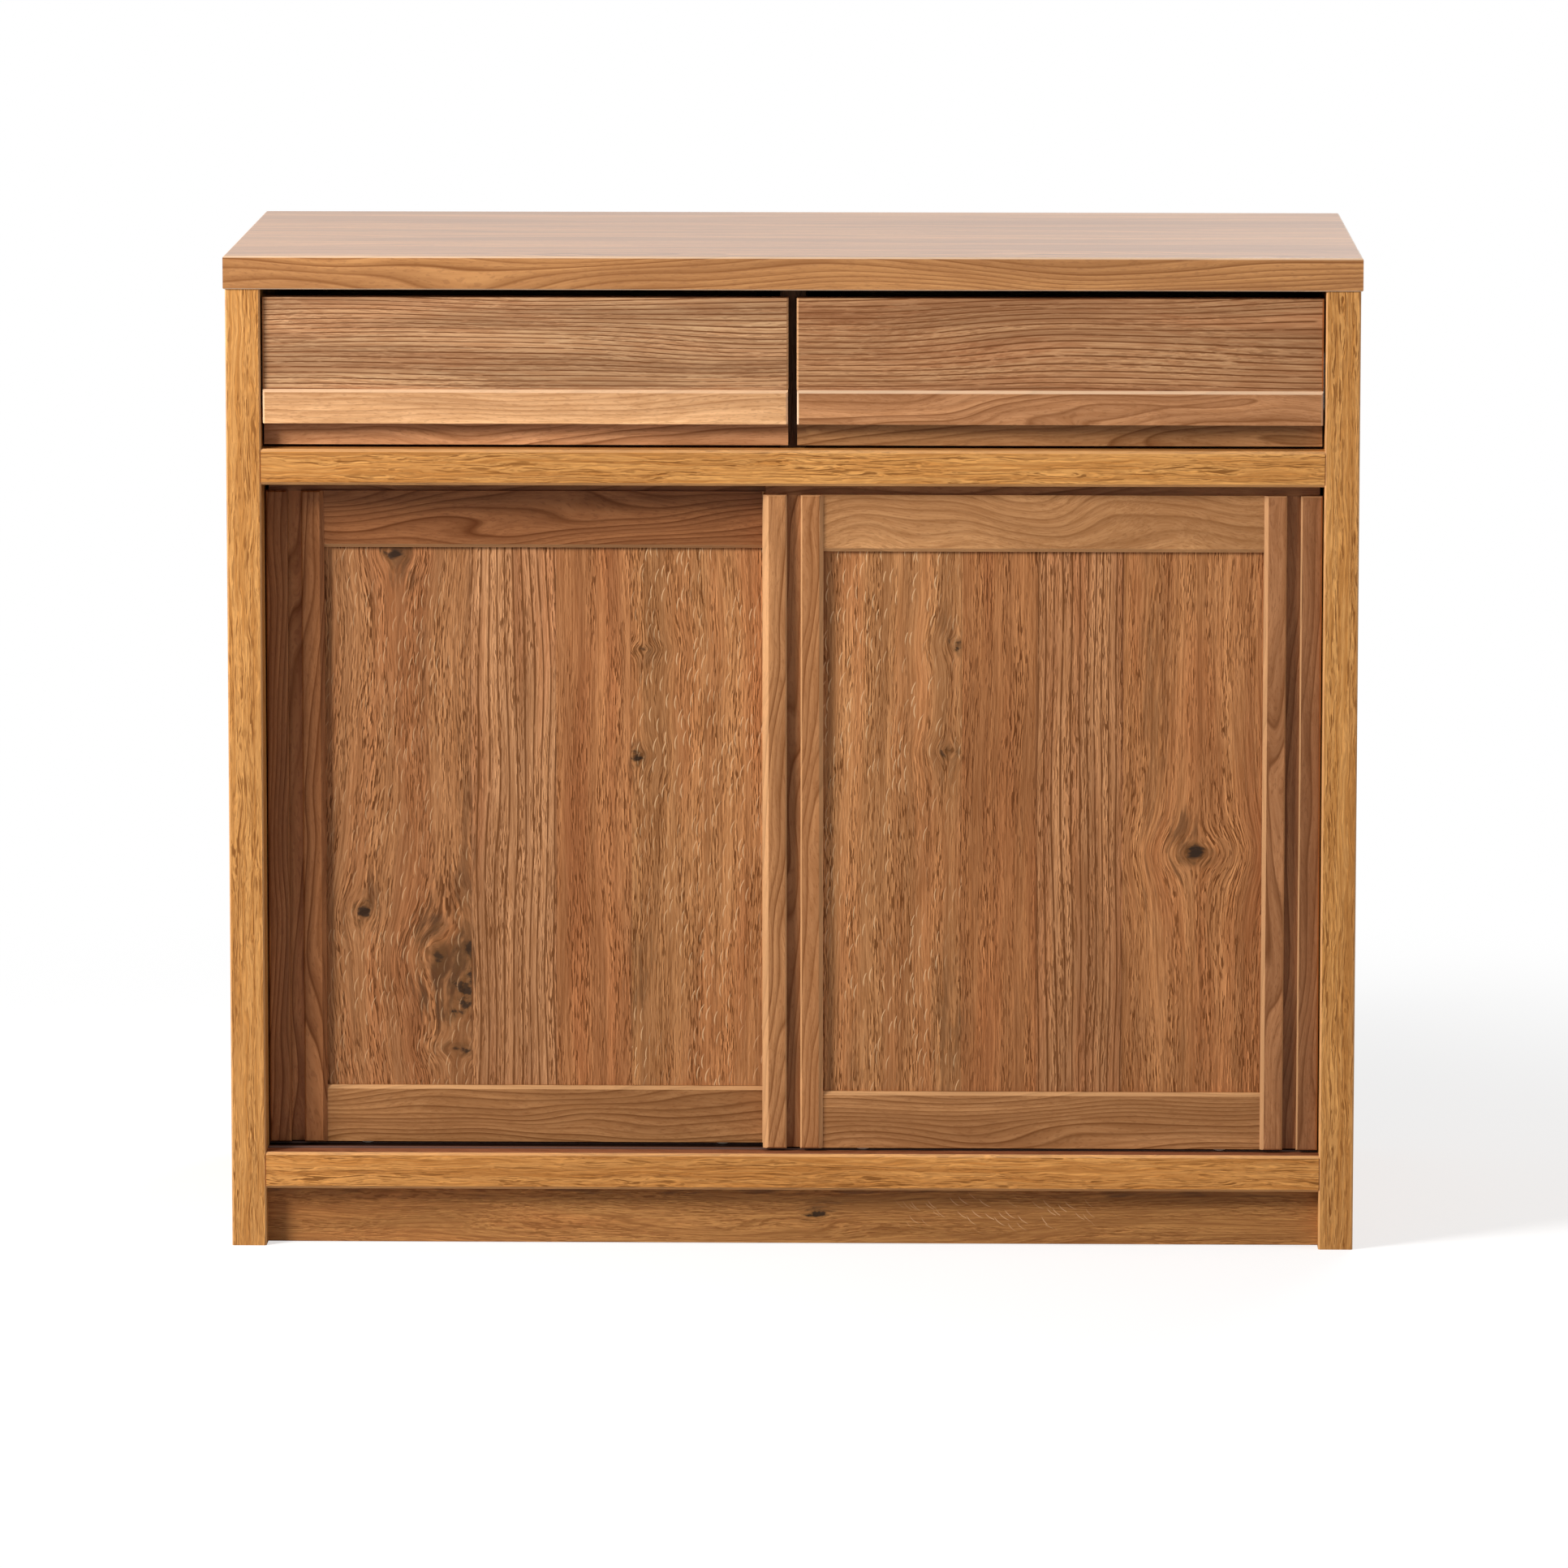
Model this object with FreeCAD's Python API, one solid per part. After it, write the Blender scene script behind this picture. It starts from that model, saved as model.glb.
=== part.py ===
import FreeCAD, Part
import os

os.makedirs("parts", exist_ok=True)

# Free-standing kitchen counter cabinet in oak: a slab top on two side panels, two drawers side by
# side, and below them two doors that slide past each other in front of adjustable shelves.
# The origin is on the floor under the middle of the cabinet. +Z is up and the front faces -Y.
# All lengths are in millimetres.

# Overall size
width = 900.0
depth = 450.0
height = 795.0

# Top slab
slab_thickness = 26.5
slab_side_overhang = 1.5
slab_front_overhang = 2.0
slab_top_round = 2.0
slab_bottom_arris = 0.8

# Side panels, rails and decks
side_thickness = 27.5
side_arris = 1.2
drawer_opening_height = 127.0
mid_rail_height = 28.5
bottom_rail_height = 29.5
plinth_height = 46.5
rail_arris = 2.2
rail_back_margin = 4.0
deck_thickness = 15.0
divider_thickness = 20.0
divider_front_gap = 2.0
partition_thickness = 18.0
partition_front_gap = 2.0
kick_setback = 17.0
kick_thickness = 15.0
kick_floor_gap = 0.5
rear_kick_thickness = 18.0
rear_rail_thickness = 18.0
rear_rail_height = 60.0
back_thickness = 5.0
back_inset = 3.0
back_lap = 10.0

# Drawer fronts
drawer_side_gap = 1.4
drawer_centre_gap = 6.6
drawer_bottom_gap = 2.5
drawer_top_gap = 6.8
front_arris = 1.4
bar_setback = 1.0
bar_projection = 4.0
bar_height = 27.0
bar_top_bevel = 2.4
bar_lip = 7.0
bar_lip_drop = 8.0
bar_end_gap = 0.3
face_thickness = 18.0
finger_depth = 14.0
finger_height = 18.0

# Drawer boxes
box_height = 90.0
box_lift = 8.5
box_board = 12.0
box_bottom_thickness = 4.0
box_bottom_lift = 8.0
box_groove_depth = 6.0
box_back_drop = 8.0
box_rear_gap = 2.0

# Drawer slides: three nested channels with two rows of balls between each pair
slide_width = 12.7
slide_height = 45.0
slide_sheet = 1.2
slide_front_gap = 2.0
slide_rear_gap = 5.0
ball_space = 3.2
ball_gap = 0.15
cabinet_channel_depth = 10.5
middle_channel_gap = 0.6
middle_channel_depth = 9.1
drawer_channel_depth = 8.7
ball_setout = 6.5
ball_end_margin = 12.0
balls_in_a_row = 4

# Sliding doors
door_thickness = 20.0
door_setback = 12.0
door_running_gap = 2.0
door_side_gap = 1.0
door_overlap = 47.0
door_top_gap = 8.4
door_bottom_gap = 2.5
outer_batten = 17.0
meeting_batten = 19.0
meeting_bevel_width = 4.5
meeting_bevel_depth = 3.0
finger_groove_width = 11.0
finger_groove_depth = 7.0
inner_batten = 18.0
inner_bevel = 3.3
batten_arris = 1.2
end_arris = 1.0
door_rail_height = 45.5
door_rail_bevel = 2.8
panel_step = 5.5
panel_thickness = 5.5
panel_tongue = 8.0
panel_clearance = 0.1

# Door rollers, tracks and top guides
roller_inset = 32.0
wheel_radius = 10.0
wheel_width = 6.0
wheel_rail_gap = 0.5
wheel_side_gap = 0.4
wheel_roof_gap = 0.7
housing_length = 44.0
housing_width = 11.0
housing_roof = 1.5
axle_radius = 1.5
axle_clearance = 0.05
track_base_width = 6.0
track_base_depth = 3.0
bead_radius = 1.5
bead_clearance = 0.3
track_end_gap = 0.5
channel_width = 9.0
channel_depth = 9.0
channel_wall = 1.2
guide_length = 30.0
guide_thickness = 5.0
guide_inset = 22.0
guide_root = 14.0
guide_reach = 5.5
guide_round = 2.0

# Shelves
shelf_thickness = 18.0
shelf_front_gap = 20.0
shelf_side_gap = 1.5
shelf_back_gap = 3.0
shelf_arris = 1.0
pin_radius = 2.5
pin_hole_depth = 8.0
pin_reach = 8.0
pin_rest_gap = 0.3
pin_pitch = 32.0
pin_steps_each_way = 2
pin_front_inset = 40.0
pin_rear_inset = 60.0

# Fasteners
fastener_clearance = 0.05
dowel_radius = 4.0
dowel_half_length = 15.0
dowel_short_half = 9.0
dowel_inset = 60.0
rail_dowel_inset = 14.0
cam_radius = 7.5
cam_depth = 12.0
cam_setback = 34.0
cam_inset = 110.0
bolt_radius = 3.0
bolt_reach = 12.0
screw_radius = 1.6
screw_length = 16.0
screw_head_radius = 3.4
screw_head_height = 1.8
screw_end_inset = 40.0
screws_up_each_side = 5
screws_along_each_deck = 3

# Working values
overrun = 1.0
touching = 0.001

X, Y, Z = range(3)

# Planes that the pieces share
panel_front = slab_front_overhang - depth / 2
panel_back = depth / 2
inner_half = width / 2 - slab_side_overhang - side_thickness
slab_bottom = height - slab_thickness
mid_rail_top = slab_bottom - drawer_opening_height
mid_rail_bottom = mid_rail_top - mid_rail_height
bottom_rail_bottom = plinth_height
bottom_rail_top = bottom_rail_bottom + bottom_rail_height
mid_deck_bottom = mid_rail_top - deck_thickness
bottom_deck_bottom = bottom_rail_top - deck_thickness
rail_depth = door_setback + 2 * door_thickness + door_running_gap + rail_back_margin
rail_back = panel_front + rail_depth
back_front = panel_back - back_inset - back_thickness
rear_rail_front = back_front - rear_rail_thickness
front_back = panel_front + bar_setback + bar_projection + face_thickness
bay_inner = divider_thickness / 2

# Doors: both fill their share of the opening and overlap in the middle
outer_stile = outer_batten + finger_groove_width + inner_batten
meeting_stile = meeting_batten + finger_groove_width + inner_batten
door_width = inner_half - door_side_gap + door_overlap / 2
door_bottom = bottom_rail_top + door_bottom_gap
door_top = mid_rail_bottom - door_top_gap
door_setbacks = {"right": door_setback, "left": door_setback + door_thickness + door_running_gap}
sides = {"right": 1, "left": -1}


def behind(setback):
    return panel_front + setback


def block(x_span, y_span, z_span):
    low = FreeCAD.Vector(min(x_span), min(y_span), min(z_span))
    high = FreeCAD.Vector(max(x_span), max(y_span), max(z_span))
    size = high - low
    return Part.makeBox(size.x, size.y, size.z, low)


def prism(corners, travel):
    face = Part.Face(Part.makePolygon(corners + corners[:1]))
    return face.extrude(travel)


def rod(radius, start, end):
    run = end - start
    return Part.makeCylinder(radius, run.Length, start, run)


def edges_on(shape, axis, place, along=None):
    found = []
    for edge in shape.Edges:
        box = edge.BoundBox
        low = (box.XMin, box.YMin, box.ZMin)
        high = (box.XMax, box.YMax, box.ZMax)
        in_plane = abs(low[axis] - place) < touching and abs(high[axis] - place) < touching
        if in_plane and (along is None or high[along] - low[along] > touching):
            found.append(edge)
    return found


def bevelled(shape, size, axis, place, along=None):
    return shape.makeChamfer(size, edges_on(shape, axis, place, along))


def save(node, shape):
    shape.exportStep(f"parts/{node}.step")


# Dowels and cam bolts
# A dowel runs from one board into the next. A cam is a disc let into one board, and its bolt
# runs out of the disc into the other board. Each has a hole that is a little larger.
def dowel_runs():
    runs = []
    side_middle = inner_half + side_thickness / 2
    for side in (1, -1):
        wall = side * inner_half
        for y in (behind(dowel_inset), panel_back - dowel_inset):
            across = FreeCAD.Vector(side * dowel_half_length, 0, 0)
            up = FreeCAD.Vector(0, 0, dowel_half_length)
            slab_joint = FreeCAD.Vector(side * side_middle, y, slab_bottom)
            runs.append((slab_joint - up, slab_joint + up))
        for y in (rail_back + dowel_inset, back_front - dowel_inset):
            for deck_bottom in (mid_deck_bottom, bottom_deck_bottom):
                joint = FreeCAD.Vector(wall, y, deck_bottom + deck_thickness / 2)
                runs.append((joint - across, joint + across))
        for y in (behind(rail_dowel_inset), rail_back - rail_dowel_inset):
            for z in (mid_rail_top - rail_arris - dowel_radius, bottom_rail_bottom + bottom_rail_height / 2):
                joint = FreeCAD.Vector(wall, y, z)
                runs.append((joint - across, joint + across))
        for y in (behind(kick_setback + kick_thickness / 2), back_front - rear_kick_thickness / 2):
            joint = FreeCAD.Vector(wall, y, plinth_height / 2)
            runs.append((joint - across, joint + across))
        rear_rail_middle = rear_rail_front + rear_rail_thickness / 2
        joint = FreeCAD.Vector(wall, rear_rail_middle, slab_bottom - rear_rail_height / 2)
        runs.append((joint - across, joint + across))
    short = FreeCAD.Vector(0, 0, dowel_short_half)
    for y in (rail_back + dowel_inset, rear_rail_front - dowel_inset):
        for z in (bottom_rail_top, mid_deck_bottom, slab_bottom):
            joint = FreeCAD.Vector(0, y, z)
            runs.append((joint - short, joint + short))
    return runs


def cam_sites():
    sites = []
    for side in (1, -1):
        wall = side * inner_half
        out = FreeCAD.Vector(side, 0, 0)
        up = FreeCAD.Vector(0, 0, 1)
        for y in (behind(cam_inset), panel_back - cam_inset):
            disc = FreeCAD.Vector(wall, y, slab_bottom - cam_setback)
            sites.append((disc, out * cam_depth, up))
        for y in (rail_back + cam_inset, back_front - cam_inset):
            for deck_bottom in (mid_deck_bottom, bottom_deck_bottom):
                disc = FreeCAD.Vector(wall - side * cam_setback, y, deck_bottom)
                sites.append((disc, up * cam_depth, out))
    return sites


def cam_and_bolt(disc, thickness, aim, grow):
    body = rod(cam_radius + grow, disc, disc + thickness)
    half = thickness / 2
    start = disc + half + aim * cam_radius
    end = disc + half + aim * (cam_setback + bolt_reach + grow)
    return body, rod(bolt_radius + grow, start, end)


def screw_sites():
    sites = []
    lap_x = inner_half + back_lap / 2
    low_z = bottom_rail_bottom + screw_end_inset
    step_z = (slab_bottom - screw_end_inset - low_z) / (screws_up_each_side - 1)
    for side in (1, -1):
        for count in range(screws_up_each_side):
            sites.append(FreeCAD.Vector(side * lap_x, panel_back - back_inset, low_z + count * step_z))
    low_x = dowel_inset - inner_half
    step_x = -2 * low_x / (screws_along_each_deck - 1)
    for deck_bottom in (mid_deck_bottom, bottom_deck_bottom):
        for count in range(screws_along_each_deck):
            z = deck_bottom + deck_thickness / 2
            sites.append(FreeCAD.Vector(low_x + count * step_x, panel_back - back_inset, z))
    return sites


def screw(site, grow):
    forward = FreeCAD.Vector(0, 1, 0)
    shank = rod(screw_radius + grow, site - forward * (screw_length + grow), site)
    head = Part.makeCone(screw_head_radius, screw_radius, screw_head_height, site, forward)
    return shank, head


# The walls that carry shelf pins: each has its place in X and the way its face looks
def pin_walls():
    walls = []
    for side in (1, -1):
        walls.append((side * inner_half, -side))
        walls.append((side * partition_thickness / 2, side))
    return walls


pin_rows = (rail_back + pin_front_inset, back_front - pin_rear_inset)
pin_middle = (bottom_rail_top + mid_deck_bottom) / 2


def pin_holes():
    holes = []
    for wall, look in pin_walls():
        inward = FreeCAD.Vector(-look * pin_hole_depth, 0, 0)
        for y in pin_rows:
            for step in range(-pin_steps_each_way, pin_steps_each_way + 1):
                mouth = FreeCAD.Vector(wall, y, pin_middle + step * pin_pitch)
                holes.append(rod(pin_radius + fastener_clearance, mouth, mouth + inward))
    return holes


def fastener_holes():
    holes = pin_holes()
    for start, end in dowel_runs():
        spare = (end - start).normalize() * fastener_clearance
        holes.append(rod(dowel_radius + fastener_clearance, start - spare, end + spare))
    for disc, thickness, aim in cam_sites():
        holes.extend(cam_and_bolt(disc, thickness, aim, fastener_clearance))
    for site in screw_sites():
        holes.append(screw(site, fastener_clearance)[0])
    return holes


all_holes = fastener_holes()


def bored(board):
    reach = board.BoundBox
    near = [hole for hole in all_holes if hole.BoundBox.intersect(reach)]
    return board.cut(near)


# Top slab
# One thick board: its top edges are rounded over, and its underside has a small arris.
def top_slab():
    slab = block((-width / 2, width / 2), (-depth / 2, depth / 2), (slab_bottom, height))
    slab = slab.makeFillet(slab_top_round, edges_on(slab, Z, height))
    return bevelled(slab, slab_bottom_arris, Z, slab_bottom)


save("top_slab", bored(top_slab()))


# Side panels
# Each stands on the floor. A rebate along its inner rear edge takes the back panel.
def side_panel(side):
    outer = inner_half + side_thickness
    panel = block((side * inner_half, side * outer), (panel_front, panel_back), (0, slab_bottom))
    panel = bevelled(panel, side_arris, Y, panel_front, Z)
    rebate = block(
        (side * (inner_half - overrun), side * (inner_half + back_lap)),
        (back_front, panel_back + overrun),
        (bottom_rail_bottom, slab_bottom + overrun),
    )
    return bored(panel.cut(rebate))


for name, side in sides.items():
    save(f"side_panel_{name}", side_panel(side))


# Rails
# The mid rail has a groove in its underside for each guide channel, and the bottom rail has a
# groove in its top for each track.
track_places = [behind(setback + door_thickness / 2) for setback in door_setbacks.values()]


def rail(low, high, grooves):
    board = block((-inner_half, inner_half), (panel_front, rail_back), (low, high))
    board = bevelled(board, rail_arris, Y, panel_front, X)
    return bored(board.cut(grooves))


def mid_rail():
    grooves = []
    for y in track_places:
        half = channel_width / 2
        z_span = (mid_rail_bottom - overrun, mid_rail_bottom + channel_depth)
        grooves.append(block((-inner_half - overrun, inner_half + overrun), (y - half, y + half), z_span))
    return rail(mid_rail_bottom, mid_rail_top, grooves)


def bottom_rail():
    grooves = []
    for y in track_places:
        half = track_base_width / 2
        z_span = (bottom_rail_top - track_base_depth, bottom_rail_top + overrun)
        grooves.append(block((-inner_half - overrun, inner_half + overrun), (y - half, y + half), z_span))
    return rail(bottom_rail_bottom, bottom_rail_top, grooves)


save("mid_rail", mid_rail())
save("bottom_rail", bottom_rail())


# Guide channels and tracks
# The channels are upside-down gutters that hold the door's top guides. Each track is a strip let
# into the bottom rail, with a round bead that the wheels straddle.
def guide_channel(y):
    x_span = (-inner_half + track_end_gap, inner_half - track_end_gap)
    half = channel_width / 2
    outside = block(x_span, (y - half, y + half), (mid_rail_bottom, mid_rail_bottom + channel_depth))
    half = channel_width / 2 - channel_wall
    z_span = (mid_rail_bottom - overrun, mid_rail_bottom + channel_depth - channel_wall)
    hollow = block((-inner_half, inner_half), (y - half, y + half), z_span)
    return outside.cut(hollow)


def track(y):
    x_low = -inner_half + track_end_gap
    length = 2 * (inner_half - track_end_gap)
    half = track_base_width / 2
    low = bottom_rail_top - track_base_depth
    corners = [
        FreeCAD.Vector(x_low, y - bead_radius, bottom_rail_top),
        FreeCAD.Vector(x_low, y - half, bottom_rail_top),
        FreeCAD.Vector(x_low, y - half, low),
        FreeCAD.Vector(x_low, y + half, low),
        FreeCAD.Vector(x_low, y + half, bottom_rail_top),
        FreeCAD.Vector(x_low, y + bead_radius, bottom_rail_top),
    ]
    crown = FreeCAD.Vector(x_low, y, bottom_rail_top + bead_radius)
    edges = [Part.makeLine(a, b) for a, b in zip(corners, corners[1:])]
    edges.append(Part.Arc(corners[-1], crown, corners[0]).toShape())
    return Part.Face(Part.Wire(edges)).extrude(FreeCAD.Vector(length, 0, 0))


save("top_guide_channels", Part.makeCompound([guide_channel(y) for y in track_places]))
save("bottom_tracks", Part.makeCompound([track(y) for y in track_places]))


# Decks, divider and partition
# The decks lie behind the rails, flush with their tops. The divider parts the drawers and the
# partition parts the cupboard.
def deck(low):
    board = block((-inner_half, inner_half), (rail_back, back_front), (low, low + deck_thickness))
    return bored(board)


save("mid_deck", deck(mid_deck_bottom))
save("bottom_deck", deck(bottom_deck_bottom))

divider_front = front_back + divider_front_gap
divider = block((-bay_inner, bay_inner), (divider_front, rear_rail_front), (mid_rail_top, slab_bottom))
save("drawer_divider", bored(divider))

half_partition = partition_thickness / 2
partition = block(
    (-half_partition, half_partition),
    (rail_back + partition_front_gap, back_front),
    (bottom_rail_top, mid_deck_bottom),
)
save("centre_partition", bored(partition))

# Plinth, rear rail and back panel
# The kick board is set back under the bottom rail, and a second board carries the deck's rear edge.
between_sides = (-inner_half, inner_half)
kick_front = behind(kick_setback)
kick_back = kick_front + kick_thickness
kick = block(between_sides, (kick_front, kick_back), (kick_floor_gap, bottom_rail_bottom))
save("kick_board", bored(kick))

rear_kick_front = back_front - rear_kick_thickness
rear_kick = block(between_sides, (rear_kick_front, back_front), (kick_floor_gap, bottom_deck_bottom))
save("rear_kick_board", bored(rear_kick))

rear_rail_low = slab_bottom - rear_rail_height
rear_rail = block(between_sides, (rear_rail_front, back_front), (rear_rail_low, slab_bottom))
save("rear_top_rail", bored(rear_rail))

back_half = inner_half + back_lap
back_span = (back_front, back_front + back_thickness)
back_panel = block((-back_half, back_half), back_span, (bottom_rail_bottom, slab_bottom))
save("back_panel", bored(back_panel))

# Fastener groups
dowels = [rod(dowel_radius, start, end) for start, end in dowel_runs()]
save("dowels", Part.makeCompound(dowels))

cams = []
for disc, thickness, aim in cam_sites():
    cams.extend(cam_and_bolt(disc, thickness, aim, 0))
save("cam_fasteners", Part.makeCompound(cams))

screws = []
for site in screw_sites():
    shank, head = screw(site, 0)
    screws.append(shank.fuse(head))
save("back_panel_screws", Part.makeCompound(screws))

shelf_pins = []
for wall, look in pin_walls():
    for y in pin_rows:
        root = FreeCAD.Vector(wall - look * (pin_hole_depth - fastener_clearance), y, pin_middle)
        tip = FreeCAD.Vector(wall + look * pin_reach, y, pin_middle)
        shelf_pins.append(rod(pin_radius, root, tip))
save("shelf_pins", Part.makeCompound(shelf_pins))


# Shelves
# Each lies loose on four pins, and lifts off them.
def shelf(side):
    low = pin_middle + pin_radius + pin_rest_gap
    x_span = (side * (half_partition + shelf_side_gap), side * (inner_half - shelf_side_gap))
    y_front = rail_back + shelf_front_gap
    board = block(x_span, (y_front, back_front - shelf_back_gap), (low, low + shelf_thickness))
    return bevelled(board, shelf_arris, Y, y_front, X)


for name, side in sides.items():
    save(f"shelf_{name}", shelf(side))

# Drawer fronts
# The face board is glued over the pull bar, and the bar hangs in front of the recessed lower
# strip. Behind the bar's lip a rebate gives the fingertips room.
face_front = behind(bar_setback + bar_projection)
bar_front = behind(bar_setback)
strip_front = bar_front + finger_depth
front_low = mid_rail_top + drawer_bottom_gap
bar_low = front_low + finger_height
bar_high = bar_low + bar_height
front_high = slab_bottom - drawer_top_gap


def front_span(side, end_gap):
    inner = drawer_centre_gap / 2 + end_gap
    outer = inner_half - drawer_side_gap - end_gap
    return side * inner, side * outer


def drawer_face(side):
    board = block(front_span(side, 0), (face_front, front_back), (bar_high, front_high))
    return bevelled(board, front_arris, Y, face_front, Z)


def pull_bar(side):
    start, end = front_span(side, bar_end_gap)
    lip_back = bar_front + bar_lip
    outline = [
        (bar_front, bar_low),
        (lip_back, bar_low),
        (lip_back, bar_low + bar_lip_drop),
        (front_back, bar_low + bar_lip_drop),
        (front_back, bar_high),
        (bar_front + bar_top_bevel, bar_high),
        (bar_front, bar_high - bar_top_bevel),
    ]
    corners = [FreeCAD.Vector(start, y, z) for y, z in outline]
    bar = prism(corners, FreeCAD.Vector(end - start, 0, 0))
    return bevelled(bar, front_arris, Y, bar_front, Z)


def lower_strip(side):
    z_span = (front_low, bar_low + bar_lip_drop)
    return block(front_span(side, bar_end_gap), (strip_front, front_back), z_span)


# Drawer boxes
# Four boards round a thin bottom that slides into grooves. The front board is screwed behind the
# drawer's face, and the back board stands on the bottom.
box_low = mid_rail_top + box_lift
box_high = box_low + box_height
box_back = rear_rail_front - box_rear_gap
box_outer = inner_half - slide_width
box_inner = bay_inner + slide_width
box_floor = box_low + box_bottom_lift


def box_bottom(side, clearance):
    reach = box_groove_depth - clearance
    x_span = (side * (box_inner + box_board - reach), side * (box_outer - box_board + reach))
    y_span = (front_back + box_board - reach, box_back)
    return block(x_span, y_span, (box_floor, box_floor + box_bottom_thickness))


def box_inner_front(side):
    x_span = (side * (box_inner + box_board), side * (box_outer - box_board))
    board = block(x_span, (front_back, front_back + box_board), (box_low, box_high))
    return board.cut(box_bottom(side, 0))


def box_sides(side):
    walls = []
    for near in (box_inner, box_outer - box_board):
        board = block((side * near, side * (near + box_board)), (front_back, box_back), (box_low, box_high))
        walls.append(board.cut(box_bottom(side, 0)))
    return Part.makeCompound(walls)


def box_rear(side):
    x_span = (side * (box_inner + box_board), side * (box_outer - box_board))
    z_span = (box_floor + box_bottom_thickness, box_high - box_back_drop)
    return block(x_span, (box_back - box_board, box_back), z_span)


# Drawer slides
# Seen from the front, each slide is three channels: one on the cabinet, one on the drawer's side,
# and a middle one that travels half as far. Its balls run between them.
slide_y = (front_back + slide_front_gap, box_back - slide_rear_gap)
slide_length = slide_y[1] - slide_y[0]
slide_middle_z = box_low + box_height / 2
middle_half = slide_height / 2 - slide_sheet - ball_space
drawer_channel_half = middle_half - slide_sheet - ball_space


def channel(wall, look, web, tip, half):
    step = slide_sheet if tip > web else -slide_sheet
    outline = [
        (web, -half),
        (tip, -half),
        (tip, -half + slide_sheet),
        (web + step, -half + slide_sheet),
        (web + step, half - slide_sheet),
        (tip, half - slide_sheet),
        (tip, half),
        (web, half),
    ]
    corners = [FreeCAD.Vector(wall + look * w, slide_y[0], slide_middle_z + z) for w, z in outline]
    return prism(corners, FreeCAD.Vector(0, slide_length, 0))


def cabinet_channel(wall, look):
    return channel(wall, look, 0, cabinet_channel_depth, slide_height / 2)


def middle_channel(wall, look):
    web = slide_sheet + middle_channel_gap
    return channel(wall, look, web, web + middle_channel_depth, middle_half)


def drawer_channel(wall, look):
    return channel(wall, look, slide_width, slide_width - drawer_channel_depth, drawer_channel_half)


def balls(wall, look):
    radius = ball_space / 2 - ball_gap
    outer_row = middle_half + ball_space / 2
    inner_row = drawer_channel_half + ball_space / 2
    run = slide_length / 2 - 2 * ball_end_margin
    step = run / (balls_in_a_row - 1)
    rows = ((outer_row, slide_y[1] - ball_end_margin - run), (inner_row, slide_y[0] + ball_end_margin))
    made = []
    for offset, first_y in rows:
        for z in (slide_middle_z - offset, slide_middle_z + offset):
            for count in range(balls_in_a_row):
                centre = FreeCAD.Vector(wall + look * ball_setout, first_y + count * step, z)
                made.append(Part.makeSphere(radius, centre))
    return made


def slide_walls(side):
    return ((side * inner_half, -side), (side * bay_inner, side))


for name, side in sides.items():
    save(f"drawer_{name}_face", drawer_face(side))
    save(f"drawer_{name}_pull_bar", pull_bar(side))
    save(f"drawer_{name}_lower_strip", lower_strip(side))
    save(f"drawer_{name}_box_front", box_inner_front(side))
    save(f"drawer_{name}_box_sides", box_sides(side))
    save(f"drawer_{name}_box_back", box_rear(side))
    save(f"drawer_{name}_box_bottom", box_bottom(side, panel_clearance))
    walls = slide_walls(side)
    save(f"cabinet_slides_{name}", Part.makeCompound([cabinet_channel(*wall) for wall in walls]))
    save(f"drawer_{name}_slides", Part.makeCompound([drawer_channel(*wall) for wall in walls]))
    middle = [middle_channel(*wall) for wall in walls]
    for wall in walls:
        middle.extend(balls(*wall))
    save(f"middle_slides_{name}", Part.makeCompound(middle))

# Sliding doors
# Each door is two grooved stiles, two rails and a thin panel held in grooves. The stiles' flats have
# an arris at both ends. A place on a door is given by its distance in from the door's outer edge and
# its distance back from the door's front.
rail_step = inner_bevel
panel_front_step = rail_step + panel_step
panel_back_step = panel_front_step + panel_thickness
door_height = door_top - door_bottom


def door_x(side, inward):
    return side * (inner_half - door_side_gap - inward)


def stile(side, setback, from_meeting_edge, batten, edge_width, edge_depth):
    groove_start = batten
    groove_end = batten + finger_groove_width
    inner_edge = groove_end + inner_batten
    groove_in = inner_edge - panel_tongue
    outline = [
        (0, edge_depth),
        (edge_width, 0),
        (groove_start - batten_arris, 0),
        (groove_start, batten_arris),
        (groove_start, finger_groove_depth),
        (groove_end, finger_groove_depth),
        (groove_end, batten_arris),
        (groove_end + batten_arris, 0),
        (inner_edge - inner_bevel, 0),
        (inner_edge, inner_bevel),
        (inner_edge, panel_front_step),
        (groove_in, panel_front_step),
        (groove_in, panel_back_step),
        (inner_edge, panel_back_step),
        (inner_edge, door_thickness),
        (0, door_thickness),
    ]
    corners = []
    for inward, back in outline:
        if from_meeting_edge:
            inward = door_width - inward
        corners.append(FreeCAD.Vector(door_x(side, inward), behind(setback + back), door_bottom))
    board = prism(corners, FreeCAD.Vector(0, 0, door_height))
    ends = edges_on(board, Z, door_bottom, X) + edges_on(board, Z, door_top, X)
    front = behind(setback) + touching
    return board.makeChamfer(end_arris, [edge for edge in ends if edge.BoundBox.YMax < front]).Solids[0]


def outer_door_stile(side, setback):
    return stile(side, setback, False, outer_batten, batten_arris, batten_arris)


def meeting_door_stile(side, setback):
    return stile(side, setback, True, meeting_batten, meeting_bevel_width, meeting_bevel_depth)


# The panel and the rails' tenons share one groove in the stiles
tongue_reach = panel_tongue - panel_clearance


def tongue_spans(side, setback):
    start = door_x(side, outer_stile - tongue_reach)
    end = door_x(side, door_width - meeting_stile + tongue_reach)
    front = behind(setback + panel_front_step + panel_clearance)
    back = behind(setback + panel_back_step - panel_clearance)
    return (start, end), (front, back)


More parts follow.
